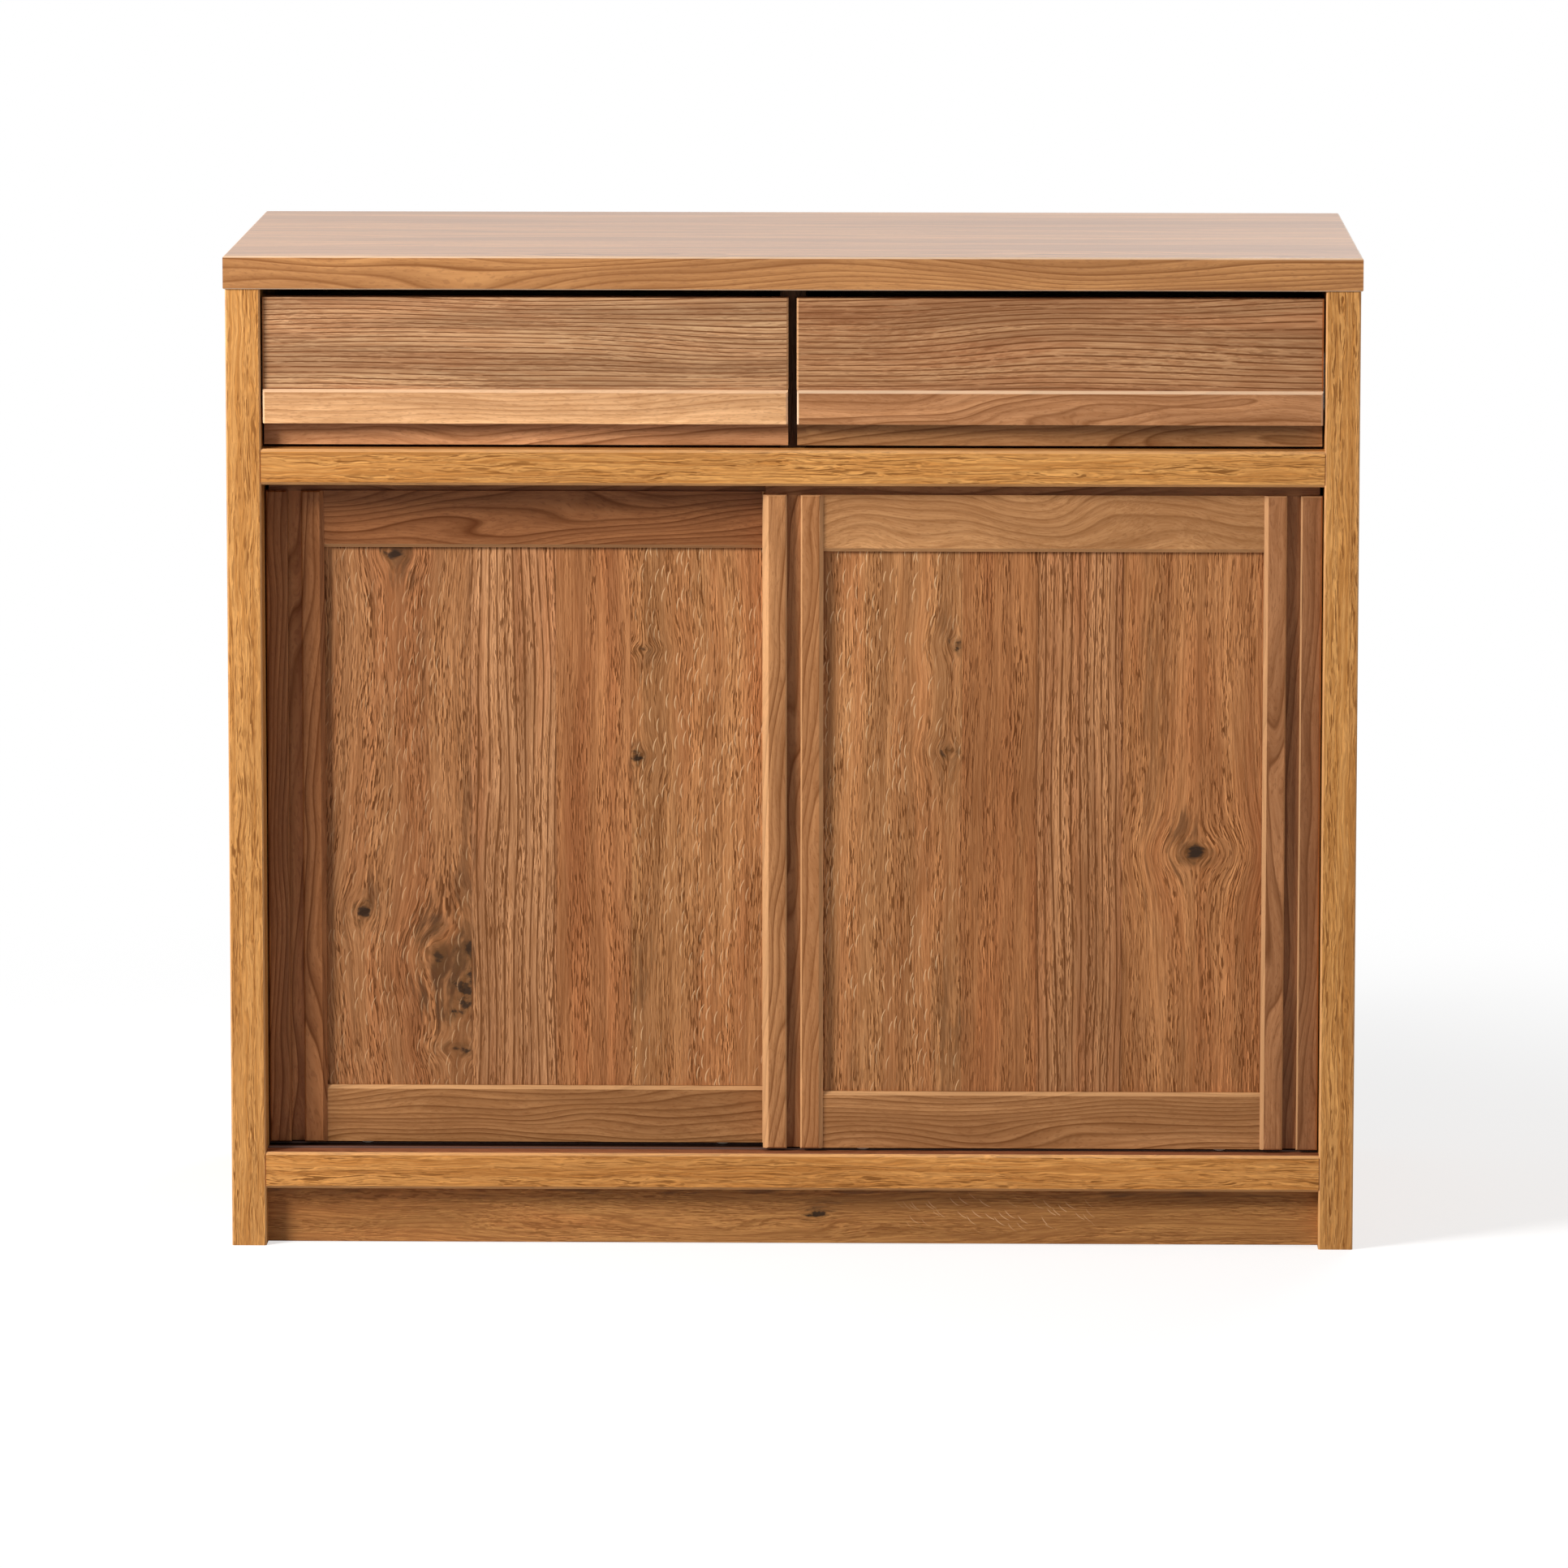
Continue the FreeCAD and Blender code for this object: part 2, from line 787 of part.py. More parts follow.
def door_rail(side, setback, edge, inward_sign):
    # edge is the rail's outer edge in Z, and inward_sign points from it to the panel
    inner = edge + inward_sign * door_rail_height
    tongue = inner - inward_sign * panel_tongue
    outline = [
        (rail_step, edge),
        (rail_step, inner - inward_sign * door_rail_bevel),
        (rail_step + door_rail_bevel, inner),
        (panel_front_step, inner),
        (panel_front_step, tongue),
        (panel_back_step, tongue),
        (panel_back_step, inner),
        (door_thickness, inner),
        (door_thickness, edge),
    ]
    start = door_x(side, outer_stile)
    run = door_x(side, door_width - meeting_stile) - start
    corners = [FreeCAD.Vector(start, behind(setback + back), z) for back, z in outline]
    body = prism(corners, FreeCAD.Vector(run, 0, 0))
    tenon = block(*tongue_spans(side, setback), (edge, tongue))
    return body.fuse(tenon).removeSplitter()


def door_panel(side, setback):
    low = door_bottom + door_rail_height - tongue_reach
    high = door_top - door_rail_height + tongue_reach
    return block(*tongue_spans(side, setback), (low, high))


# Rollers
# A grooved wheel turns on a steel axle in a housing let into the bottom rail, and its groove
# straddles the track's bead. The wheel rolls at the radius that meets the top of the bead.
axle_z = bottom_rail_top + wheel_rail_gap + wheel_radius
rolling_radius = axle_z - bottom_rail_top - bead_radius
housing_top = axle_z + wheel_radius + wheel_roof_gap + housing_roof


def roller_places(side):
    inward = (outer_stile + roller_inset, door_width - meeting_stile - roller_inset)
    return [door_x(side, place) for place in inward]


def housing_block(x, setback, grow):
    y = behind(setback + door_thickness / 2)
    half_x = housing_length / 2 + grow
    half_y = housing_width / 2 + grow
    return block((x - half_x, x + half_x), (y - half_y, y + half_y), (door_bottom - grow, housing_top + grow))


def axle(x, setback, radius, spare):
    y = behind(setback + door_thickness / 2)
    half = housing_width / 2 + spare
    return rod(radius, FreeCAD.Vector(x, y - half, axle_z), FreeCAD.Vector(x, y + half, axle_z))


def housing(x, setback):
    y = behind(setback + door_thickness / 2)
    slot_x = wheel_radius + wheel_roof_gap
    slot_y = wheel_width / 2 + wheel_side_gap
    slot_z = (door_bottom - overrun, housing_top - housing_roof)
    slot = block((x - slot_x, x + slot_x), (y - slot_y, y + slot_y), slot_z)
    return housing_block(x, setback, 0).cut([slot, axle(x, setback, axle_radius + axle_clearance, overrun)])


def wheel(x, setback):
    y = behind(setback + door_thickness / 2)
    centre = FreeCAD.Vector(x, y, axle_z)
    across = FreeCAD.Vector(0, wheel_width / 2, 0)
    disc = rod(wheel_radius, centre - across, centre + across)
    bore = axle(x, setback, axle_radius + axle_clearance, overrun)
    groove_reach = axle_z - bottom_rail_top
    groove = Part.makeTorus(groove_reach, bead_radius + bead_clearance, centre, FreeCAD.Vector(0, 1, 0))
    return disc.cut([bore, groove])


# Top guides
# A plastic blade stands in a slot near each end of the top rail and runs in the channel above.
def guide_places(side):
    inward = (outer_stile + guide_inset, door_width - meeting_stile - guide_inset)
    return [door_x(side, place) for place in inward]


def guide_blade(x, setback, grow, high):
    y = behind(setback + door_thickness / 2)
    half_x = guide_length / 2 + grow
    half_y = guide_thickness / 2 + grow
    return block((x - half_x, x + half_x), (y - half_y, y + half_y), (door_top - guide_root - grow, high))


def top_guide(x, setback):
    high = mid_rail_bottom + guide_reach
    blade = guide_blade(x, setback, 0, high)
    return blade.makeFillet(guide_round, edges_on(blade, Z, high, Y))


for name, side in sides.items():
    setback = door_setbacks[name]
    rollers = roller_places(side)
    guides = guide_places(side)
    save(f"door_{name}_outer_stile", outer_door_stile(side, setback))
    save(f"door_{name}_meeting_stile", meeting_door_stile(side, setback))
    slots = [guide_blade(x, setback, panel_clearance, door_top + overrun) for x in guides]
    save(f"door_{name}_top_rail", door_rail(side, setback, door_top, -1).cut(slots))
    pockets = [housing_block(x, setback, panel_clearance) for x in rollers]
    save(f"door_{name}_bottom_rail", door_rail(side, setback, door_bottom, 1).cut(pockets))
    save(f"door_{name}_panel", door_panel(side, setback))
    save(f"door_{name}_top_guides", Part.makeCompound([top_guide(x, setback) for x in guides]))
    fittings = []
    for x in rollers:
        fittings.append(housing(x, setback))
        fittings.append(axle(x, setback, axle_radius, 0))
    save(f"door_{name}_rollers", Part.makeCompound(fittings))
    for place, x in zip(("outer", "meeting"), rollers):
        save(f"door_{name}_{place}_wheel", wheel(x, setback))
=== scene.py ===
import bmesh
import bpy
import math
from mathutils import Matrix, Vector


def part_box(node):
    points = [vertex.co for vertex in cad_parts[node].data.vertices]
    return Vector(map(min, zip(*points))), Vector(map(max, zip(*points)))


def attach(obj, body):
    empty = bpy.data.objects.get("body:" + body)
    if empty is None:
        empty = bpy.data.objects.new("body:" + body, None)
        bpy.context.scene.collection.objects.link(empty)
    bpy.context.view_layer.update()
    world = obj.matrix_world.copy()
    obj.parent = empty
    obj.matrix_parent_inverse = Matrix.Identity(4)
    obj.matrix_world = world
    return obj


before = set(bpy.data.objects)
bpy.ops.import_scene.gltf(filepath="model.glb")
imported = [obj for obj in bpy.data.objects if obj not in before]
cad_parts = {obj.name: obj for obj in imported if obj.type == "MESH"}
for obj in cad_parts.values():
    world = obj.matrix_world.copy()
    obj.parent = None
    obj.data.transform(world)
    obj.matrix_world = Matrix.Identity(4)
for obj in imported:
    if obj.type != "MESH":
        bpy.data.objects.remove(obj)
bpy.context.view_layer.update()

# Side panels
# Two boards stand on the floor and carry the slab. Each is faced with golden oak and lacquered to a
# satin: fine dark pores run upwards over a broad, quiet drift of tone.
MM = 0.001


def shade(text):
    """Turns an sRGB hex colour to the linear colour that the shaders work in."""
    made = []
    for start in (1, 3, 5):
        value = int(text[start:start + 2], 16) / 255
        made.append(value / 12.92 if value <= 0.04045 else ((value + 0.055) / 1.055) ** 2.4)
    return (*made, 1.0)


def add(tree, kind, *values, stops=(), **named):
    """Adds a node, with its mode after its kind. Values go to its sockets in order, and named ones to
    its settings or sockets. A node or a socket among them is linked."""
    kind, _, mode = kind.partition(" ")
    node = tree.nodes.new("ShaderNode" + kind)
    for setting in ("operation", "blend_type", "interpolation_type", "vector_type"):
        if mode and hasattr(node, setting):
            setattr(node, setting, mode)
    for index, (place, tone) in enumerate(stops):
        elements = node.color_ramp.elements
        element = elements[index] if index < 2 else elements.new(place)
        element.position = place
        element.color = tone if isinstance(tone, tuple) else (tone, tone, tone, 1)
    if stops and mode:
        node.color_ramp.interpolation = mode
    sockets = dict(enumerate(values))
    for name, value in named.items():
        if hasattr(node, name):
            setattr(node, name, value)
        else:
            sockets[name.replace("_", " ")] = value
    for socket, value in sockets.items():
        if isinstance(value, bpy.types.Node):
            value = value.outputs[0]
        if isinstance(value, bpy.types.NodeSocket):
            tree.links.new(value, node.inputs[socket])
        else:
            node.inputs[socket].default_value = value
    return node


def begin(name):
    """Starts a material with an empty node tree."""
    made = bpy.data.materials.new(name)
    made.use_nodes = True
    made.node_tree.nodes.clear()
    return made, made.node_tree


def wear(material, *nodes):
    """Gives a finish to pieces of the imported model."""
    for name in nodes:
        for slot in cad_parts[name].material_slots:
            slot.material = material


def board_place(tree, grain, start=(0, 0, 0)):
    """Places in millimetres in a board: X along its grain, Y across, Z into it. The start says which
    part of the log the board is from."""
    x, y, z = add(tree, "SeparateXYZ", add(tree, "TexCoord").outputs["Object"]).outputs
    turned = add(tree, "CombineXYZ", *{"X": (x, z, y), "Y": (y, z, x), "Z": (z, x, y)}[grain])
    return add(tree, "VectorMath MULTIPLY_ADD", turned, (1 / MM, 1 / MM, 1 / MM), start)


def streaks(tree, place, length, width, detail=2, signed=False):
    """Noise drawn out along the grain: each streak is about that long and wide in millimetres. It
    runs from 0 to 1, or on both sides of 0 if it is signed."""
    drawn = add(tree, "Mapping", place, Scale=(1 / length, 1 / width, 1 / width))
    return add(tree, "TexNoise", drawn, normalize=not signed, Scale=1.0, Detail=detail, Roughness=0.55)


def strands(tree, place, size, cut, shown=(0.0, 1.0), detail=2):
    """Streaks of a length and width in millimetres that stand out from the rest: the noise is cut
    between two levels, and its two sides are shown that strongly."""
    return add(tree, "MapRange SMOOTHSTEP", streaks(tree, place, *size, detail), *cut, *shown)


def swayed(tree, place, length, width, reach):
    """Lets the grain wander sideways and in depth in slow waves, all in millimetres."""
    wave = streaks(tree, place, length, width, 1, signed=True).outputs["Color"]
    return add(tree, "VectorMath MULTIPLY_ADD", wave, (0, reach, reach), place)


def lacquered(tree, colour, relief, roughness, depth, gloss=0.25, arris_wear_and_highlight="#EDB983", arris_wear_and_highlight_share=0.38):
    """Lacquer over wood. Its open pores are that many millimetres deep and break its gloss. The
    arrises, where the surface slants, get a paler tone: partly wear sanded through the lacquer, and
    partly a painted highlight."""
    lacquer_ior = 1.48
    slant_from, slant_full = 0.12, 0.4
    pore_gloss = 0.45 * gloss
    dent_strength = 0.6
    normal = add(tree, "VectorMath ABSOLUTE", add(tree, "TexCoord").outputs["Normal"])
    x, y, z = add(tree, "SeparateXYZ", normal).outputs
    slant = add(tree, "Math MULTIPLY", z, add(tree, "Math ADD", x, y))
    slant = add(tree, "Math MULTIPLY_ADD", x, y, slant)
    # The arris mask paints a paler tone where the surface slants: partly wear, partly a painted highlight.
    arris = add(tree, "MapRange SMOOTHSTEP", slant, slant_from, slant_full, 0.0, arris_wear_and_highlight_share)
    tone = add(tree, "MixRGB MIX", arris, colour, shade(arris_wear_and_highlight))
    dent = add(tree, "Bump", invert=True, Strength=dent_strength, Distance=depth * MM, Height=relief)
    sheen = add(tree, "MapRange LINEAR", relief, 0.0, 1.0, gloss, pore_gloss)
    coat = add(tree, "BsdfPrincipled", tone, Roughness=roughness, IOR=lacquer_ior,
               Specular_IOR_Level=sheen, Normal=dent)
    add(tree, "OutputMaterial", coat)


def fine_oak(name, grain, start, tones, roughness=0.42, pore_length=24, sill=None):
    """Straight-grained wood: dark pores about 1 mm wide, drawn a little coarse so that they show, and a
    pale streak beside each: pale fibre, and a painted highlight of its relief. A sill is a level and
    a line in metres: above the level the board gets painted shade, darker and more reddish, and a
    painted shadow behind the line, darker still."""
    light, middle, dark = (shade(tone) for tone in tones)
    sill_painted_shade = shade("#B8A6D2")
    sill_shadow = shade("#3A3433")
    slow_sway = (60, 9, 2.5)
    quick_sway = (20, 4, 0.5)
    long_pore = (pore_length, 1.1)
    short_pore = (10, 0.8)
    pore_cut = (0.54, 0.64)
    cluster = (220, 7)
    growth_band = (260, 3.2)
    broad_drift = (420, 40)
    fibre_and_highlight_shift = 1.3
    fibre_and_highlight_lift = (1.2, 1.2, 1.18, 1)
    pore_depth = 0.22
    made, tree = begin(name)
    place = swayed(tree, board_place(tree, grain, start), *slow_sway)
    place = swayed(tree, place, *quick_sway)
    large = strands(tree, place, long_pore, pore_cut, (0.0, 0.9), detail=1)
    small = strands(tree, place, short_pore, pore_cut, (0.0, 0.5), detail=1)
    density = strands(tree, place, cluster, (0.36, 0.6), (0.3, 1.0), detail=3)
    pores = add(tree, "Math MULTIPLY", add(tree, "Math MAXIMUM", large, small), density)
    # A pale streak beside each pore: pale fibre, and a painted highlight of the pore's relief.
    beside = add(tree, "VectorMath ADD", place, (0, fibre_and_highlight_shift, 0))
    pale = strands(tree, beside, long_pore, (0.53, 0.62), detail=1)
    bands = strands(tree, place, growth_band, (0.36, 0.64), detail=3)
    drift = strands(tree, place, broad_drift, (0.3, 0.7), (0.0, 0.3))
    tone = add(tree, "MixRGB MIX", bands, middle, light)
    tone = add(tree, "MixRGB MIX", drift, tone, dark)
    tone = add(tree, "MixRGB MULTIPLY", pale, tone, fibre_and_highlight_lift)
    tone = add(tree, "MixRGB MIX", pores, tone, dark)
    # The sill's top gets painted shade, darker and reddish, and the part behind the line a painted shadow,
    # nearly black.
    if sill:
        level, line = sill
        _, deep, up = add(tree, "SeparateXYZ", add(tree, "TexCoord").outputs["Object"]).outputs
        top = add(tree, "Math GREATER_THAN", up, level)
        painted_shadow_behind = add(tree, "Math MULTIPLY", top, add(tree, "Math GREATER_THAN", deep, line))
        tone = add(tree, "MixRGB MULTIPLY", top, tone, sill_painted_shade)
        tone = add(tree, "MixRGB MULTIPLY", painted_shadow_behind, tone, sill_shadow)
    lacquered(tree, tone, pores, roughness, pore_depth)
    return made


upright_oak = fine_oak("golden_oak_veneer_upright_satin", "Z", (0, 0, 0), ("#DC9F5B", "#C08241", "#845022"))
wear(upright_oak, "side_panel_left", "side_panel_right")

# Rails
# The mid rail and the bottom rail are faced with the same golden oak, its grain laid across the
# cabinet, and dowelled between the side panels. The top of the bottom rail is a sill with painted
# shade on it, darker and reddish brown, and a painted shadow, nearly black, behind the right door's
# track.
rail_start = (300, 40, 0)
rail_pore_length = 32
sill_shade_inset = 0.2 * MM
track_to_dark = 8 * MM
bottom_rail_low, bottom_rail_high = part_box("bottom_rail")
tracks_low, tracks_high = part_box("bottom_tracks")
sill_level = bottom_rail_high.z - sill_shade_inset
sill_dark_line = tracks_low.y + track_to_dark
level_oak = fine_oak("golden_oak_veneer_level_satin", "X", rail_start, ("#E0A15A", "#C28240", "#825022"),
                     pore_length=rail_pore_length)
wear(level_oak, "mid_rail")
sill_oak = fine_oak("golden_oak_veneer_level_sill_painted_shade", "X", rail_start,
                    ("#DE9C55", "#C07E3C", "#825022"), pore_length=rail_pore_length,
                    sill=(sill_level, sill_dark_line))
wear(sill_oak, "bottom_rail")

# Decks, divider and partition
# Boards inside the cabinet, faced with a pale matt oak print, quieter and flatter than the veneer,
# that shows when a drawer or a door is open. The divider's print is dark brown, a painted shade for
# the gap between the drawer faces.
print_tones = ("#D8B07C", "#C99F6B", "#B0854F")
print_start = (900, 10, 50)
print_roughness = 0.5
printed_level = fine_oak("pale_oak_print_level_matt", "X", print_start, print_tones, print_roughness)
wear(printed_level, "mid_deck", "bottom_deck", "rear_top_rail", "rear_kick_board")
printed_upright = fine_oak("pale_oak_print_upright_matt", "Z", print_start, print_tones, print_roughness)
wear(printed_upright, "centre_partition")
# The divider's dark brown is a painted shade for the gap between the drawer faces.
divider_shade_print = fine_oak("dark_oak_print_painted_shade", "Z", (900, 60, 50),
                       ("#6E4B2D", "#5E3E25", "#432A18"), print_roughness)
wear(divider_shade_print, "drawer_divider")


# Kick board
# A board of brown oak veneer set back under the bottom rail, brushed and matt, with its grain across
# the cabinet. Rows of open pores part round one small dark knot, and pale rays cross them beside it.
# A painted shadow darkens its top edge, under the bottom rail.
def oval(tree, place, centre, length, width):
    """How far each point lies from a centre, where an oval of that half length and half width
    counts as 1."""
    offset = add(tree, "VectorMath SUBTRACT", place, centre)
    drawn = add(tree, "VectorMath MULTIPLY", offset, (1 / length, 1 / width, 0))
    return add(tree, "VectorMath LENGTH", drawn).outputs["Value"]


def round_knot(tree, place, centre, bend, stretch, plank):
    """Parts the grain of a plank round a knot. The plank is 1 inside it and 0 outside. Returns the
    bent place, and how far from the knot each point was."""
    reach = oval(tree, place, centre, stretch, 1)
    square = add(tree, "Math MULTIPLY_ADD", reach, reach, bend * bend)
    share = add(tree, "Math MULTIPLY", add(tree, "Math DIVIDE", -bend * bend, square), plank)
    offset = add(tree, "VectorMath SUBTRACT", place, centre)
    moved = add(tree, "VectorMath SCALE", offset, Scale=share)
    sideways = add(tree, "VectorMath MULTIPLY", moved, (0, 1, 0))
    return add(tree, "VectorMath ADD", place, sideways), reach


def knot_stains(tree, place, reach, core, depth, plank):
    """The brown rim of a knot, drawn out into threads, and the black pit in its middle: how strong
    each is, and its colour. The core is in millimetres."""
    rim_from, rim_to, rim_depth = 0.5 * core, 2.8 * core, 0.8 * depth
    pit_from, pit_to, pit_depth = 0.25 * core, 1.1 * core, 0.95 * depth
    edge_length, edge_width, edge_reach = 1.8 * core, 0.5 * core, 1.5 * core
    thread_size = (26, 2.2)
    wobble = streaks(tree, place, edge_length, edge_width, 4, signed=True)
    ragged = add(tree, "Math MULTIPLY_ADD", wobble, edge_reach, reach)
    rim = add(tree, "MapRange SMOOTHSTEP", ragged, rim_from, rim_to, rim_depth, 0.0)
    rim = add(tree, "Math MULTIPLY", rim, plank)
    threads = strands(tree, place, thread_size, (0.34, 0.62), (0.35, 1.0), detail=3)
    rim = add(tree, "Math MULTIPLY", rim, threads)
    pit = add(tree, "MapRange SMOOTHSTEP", ragged, pit_from, pit_to, pit_depth, 0.0)
    pit = add(tree, "Math MULTIPLY", pit, plank)
    return [(rim, shade("#63401F")), (pit, shade("#24160B"))]


def log_rings(tree, place, heart, lean, ring):
    """Growth rings counted out from the heart of the log, which lies beside the board and leans to
    it. Returns how far each point is through its ring, and a chance value for that ring."""
    turned = add(tree, "Mapping TEXTURE", place, Location=heart, Rotation=(0, *lean),
                 Scale=(1, ring, ring))
    across = add(tree, "VectorMath MULTIPLY", turned, (0, 1, 1))
    count = add(tree, "VectorMath LENGTH", across).outputs["Value"]
    chance = add(tree, "TexWhiteNoise", noise_dimensions="1D", W=add(tree, "Math FLOOR", count))
    return add(tree, "Math FRACT", count), chance.outputs["Value"]


def ray_flecks(tree, place, size, turn=0.0):
    """Short pale strokes where the saw met the rays of the wood, in most cells of a loose net. The
    size of a cell is in millimetres, and the turn is that of its long side. A stroke's widths and
    lengths are shares of its cell."""
    bend = 1.6
    middle_half, edge_half = 0.02, 0.1
    full_half, end_half = 0.16, 0.44
    strength = 0.85
    left_out = 0.3
    patch_size = (90, 26)
    cells = add(tree, "Mapping TEXTURE", place, Rotation=(0, 0, turn), Scale=(*size, 1))
    cell = add(tree, "TexVoronoi", cells, voronoi_dimensions="2D", Scale=1.0)
    offset = add(tree, "VectorMath SUBTRACT", cells, cell.outputs["Position"])
    x, y, _ = add(tree, "SeparateXYZ", offset).outputs
    pick, lean, _ = add(tree, "SeparateColor", cell.outputs["Color"]).outputs
    bow = add(tree, "Math MULTIPLY", add(tree, "Math MULTIPLY_ADD", x, bend, lean), x)
    off = add(tree, "Math ABSOLUTE", add(tree, "Math MULTIPLY_ADD", bow, -1.0, y))
    along = add(tree, "Math ABSOLUTE", x)
    thin = add(tree, "MapRange SMOOTHSTEP", off, middle_half, edge_half, strength, 0.0)
    short = add(tree, "MapRange SMOOTHSTEP", along, full_half, end_half, 1.0, 0.0)
    patch = strands(tree, place, patch_size, (0.38, 0.6), (0.1, 1.0), detail=1)
    some = add(tree, "Math MULTIPLY", add(tree, "Math GREATER_THAN", pick, left_out), patch)
    return add(tree, "Math MULTIPLY", add(tree, "Math MULTIPLY", thin, short), some)


def plank_looks(tree, aside, board_width, planks):
    """What changes from plank to plank: the tint, how strong the pore rows and the flecks are, how
    far along the log the plank is from, and a thin dark joint at each seam."""
    joint_half = 0.5
    share = add(tree, "MapRange LINEAR", aside, 0.0, board_width)
    tints = [(edge / board_width, shade(colour)) for edge, colour, *_ in planks]
    looks = [(edge / board_width, (*strengths, 1)) for edge, _, *strengths in planks]
    tint = add(tree, "ValToRGB CONSTANT", share, stops=tints)
    picked = add(tree, "ValToRGB CONSTANT", share, stops=looks)
    rows, flecks, shift = add(tree, "SeparateColor", picked).outputs
    joint = 0.0
    for edge, *_ in planks[1:]:
        seam = add(tree, "Math COMPARE", aside, edge, joint_half)
        joint = add(tree, "Math ADD", seam, joint)
    return tint, rows, flecks, shift, joint


def open_oak(name, node, grain, start, tones, ring, sway, rows=0.9, pored=0.5, knots=(), smoke_and_shade=(),
             planks=(), crossed=None):
    """Brushed oak: a dark row of open pores at each growth ring, and between the rows short pores
    0.85 mm wide, drawn coarser than real ones so that they show. Places on the board are counted
    from its lower left corner."""
    light, middle, dark = (shade(tone) for tone in tones)
    ray_tone = shade("#E6B98A")
    ray_cell = (17, 6)
    crossed_cell = (15, 5)
    smoke_and_shade_tone = shade("#6B472B")
    wisp_length, wisp_width, wisp_reach = 34, 3.2, 1.1
    smoke_and_shade_edge = 1.15
    row_profile = [(0, 0.0), (0.07, 0.9), (0.18, 1.0), (0.3, 0.12), (1, 0.0)]
    row_break = (16, 2.6)
    short_pore = (11, 0.85)
    pore_cut = (0.52, 0.6)
    pore_patch = (140, 9)
    fibre_size = (45, 1.3)
    fibre_and_highlight_shift = 1.1
    fibre_and_highlight_lift = (1.42, 1.44, 1.46, 1)
    broad_drift = (320, 16)
    red_drift = (240, 20)
    red_tone = shade("#FFE2D4")
    heart_aside = 400
    log_length = 900
    roughness = 0.5
    pore_depth = 0.2
    low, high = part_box(node)
    corner = Vector({"X": (low.x, low.z, 0), "Z": (low.z, low.x, 0)}[grain]) / MM + Vector(start)
    board_width = {"X": high.z - low.z, "Z": high.x - low.x}[grain] / MM
    made, tree = begin(name)
    flat = board_place(tree, grain, start)
    aside = add(tree, "SeparateXYZ", add(tree, "VectorMath SUBTRACT", flat, corner)).outputs["Y"]
    place = swayed(tree, flat, *sway)
    straight = place

    # Each knot bends and stains the grain of its own plank only.
    seams = [edge for edge, *_ in planks] or [0]
    seams.append(board_width)
    stains = []
    for along, across, bend, core, stretch, depth in knots:
        left = max(seam for seam in seams if seam <= across)
        right = min(seam for seam in seams if seam > across)
        plank = add(tree, "Math COMPARE", aside, (left + right) / 2, (right - left) / 2)
        centre = corner + Vector((along, across, 0))
        place, reach = round_knot(tree, place, centre, bend, stretch, plank)
        stains += knot_stains(tree, place, reach, core, depth, plank)

    # Grey-brown smoke lies in the wood round the knots, and the same tone in a long band is painted shade
    # along an edge of a board.
    clouds = []
    for along, across, length, width, depth in smoke_and_shade:
        reach = oval(tree, flat, corner + Vector((along, across, 0)), length, width)
        wisps = streaks(tree, place, wisp_length, wisp_width, 4, signed=True)
        ragged = add(tree, "Math MULTIPLY_ADD", wisps, wisp_reach, reach)
        clouds.append(add(tree, "MapRange SMOOTHSTEP", ragged, 0.0, smoke_and_shade_edge, depth, 0.0))

    if planks:
        tint, rows, flecks, shift, joint = plank_looks(tree, aside, board_width, planks)
        moved = add(tree, "Math MULTIPLY", shift, log_length)
        moved = add(tree, "CombineXYZ", moved, 0, moved)
        place = add(tree, "VectorMath ADD", place, moved)
        straight = add(tree, "VectorMath ADD", straight, moved)

    phase, _ = log_rings(tree, place, (start[0], start[1] - heart_aside, start[2]), (0, 0), ring)
    row = add(tree, "ValToRGB LINEAR", phase, stops=row_profile)
    broken = strands(tree, place, row_break, (0.22, 0.46))
    row = add(tree, "Math MULTIPLY", add(tree, "Math MULTIPLY", row, broken), rows)
    density = strands(tree, place, pore_patch, (0.36, 0.62), (0.25, 1.15))
    pores = strands(tree, place, short_pore, pore_cut, (0.0, 1.15 * pored), detail=1)
    pores = add(tree, "Math MULTIPLY", pores, density)
    fibre = strands(tree, place, fibre_size, (0.36, 0.64), detail=3)
    # A pale streak beside each short pore: pale fibre, and a painted highlight of the pore's relief.
    beside = add(tree, "VectorMath ADD", place, (0, fibre_and_highlight_shift, 0))
    pale = strands(tree, beside, short_pore, pore_cut, (0.0, pored), detail=1)
    pale = add(tree, "Math MULTIPLY", pale, density)
    drift = strands(tree, place, broad_drift, (0.3, 0.72), (0.0, 0.5))
    red = strands(tree, place, red_drift, (0.4, 0.7), (0.0, 0.4), detail=1)

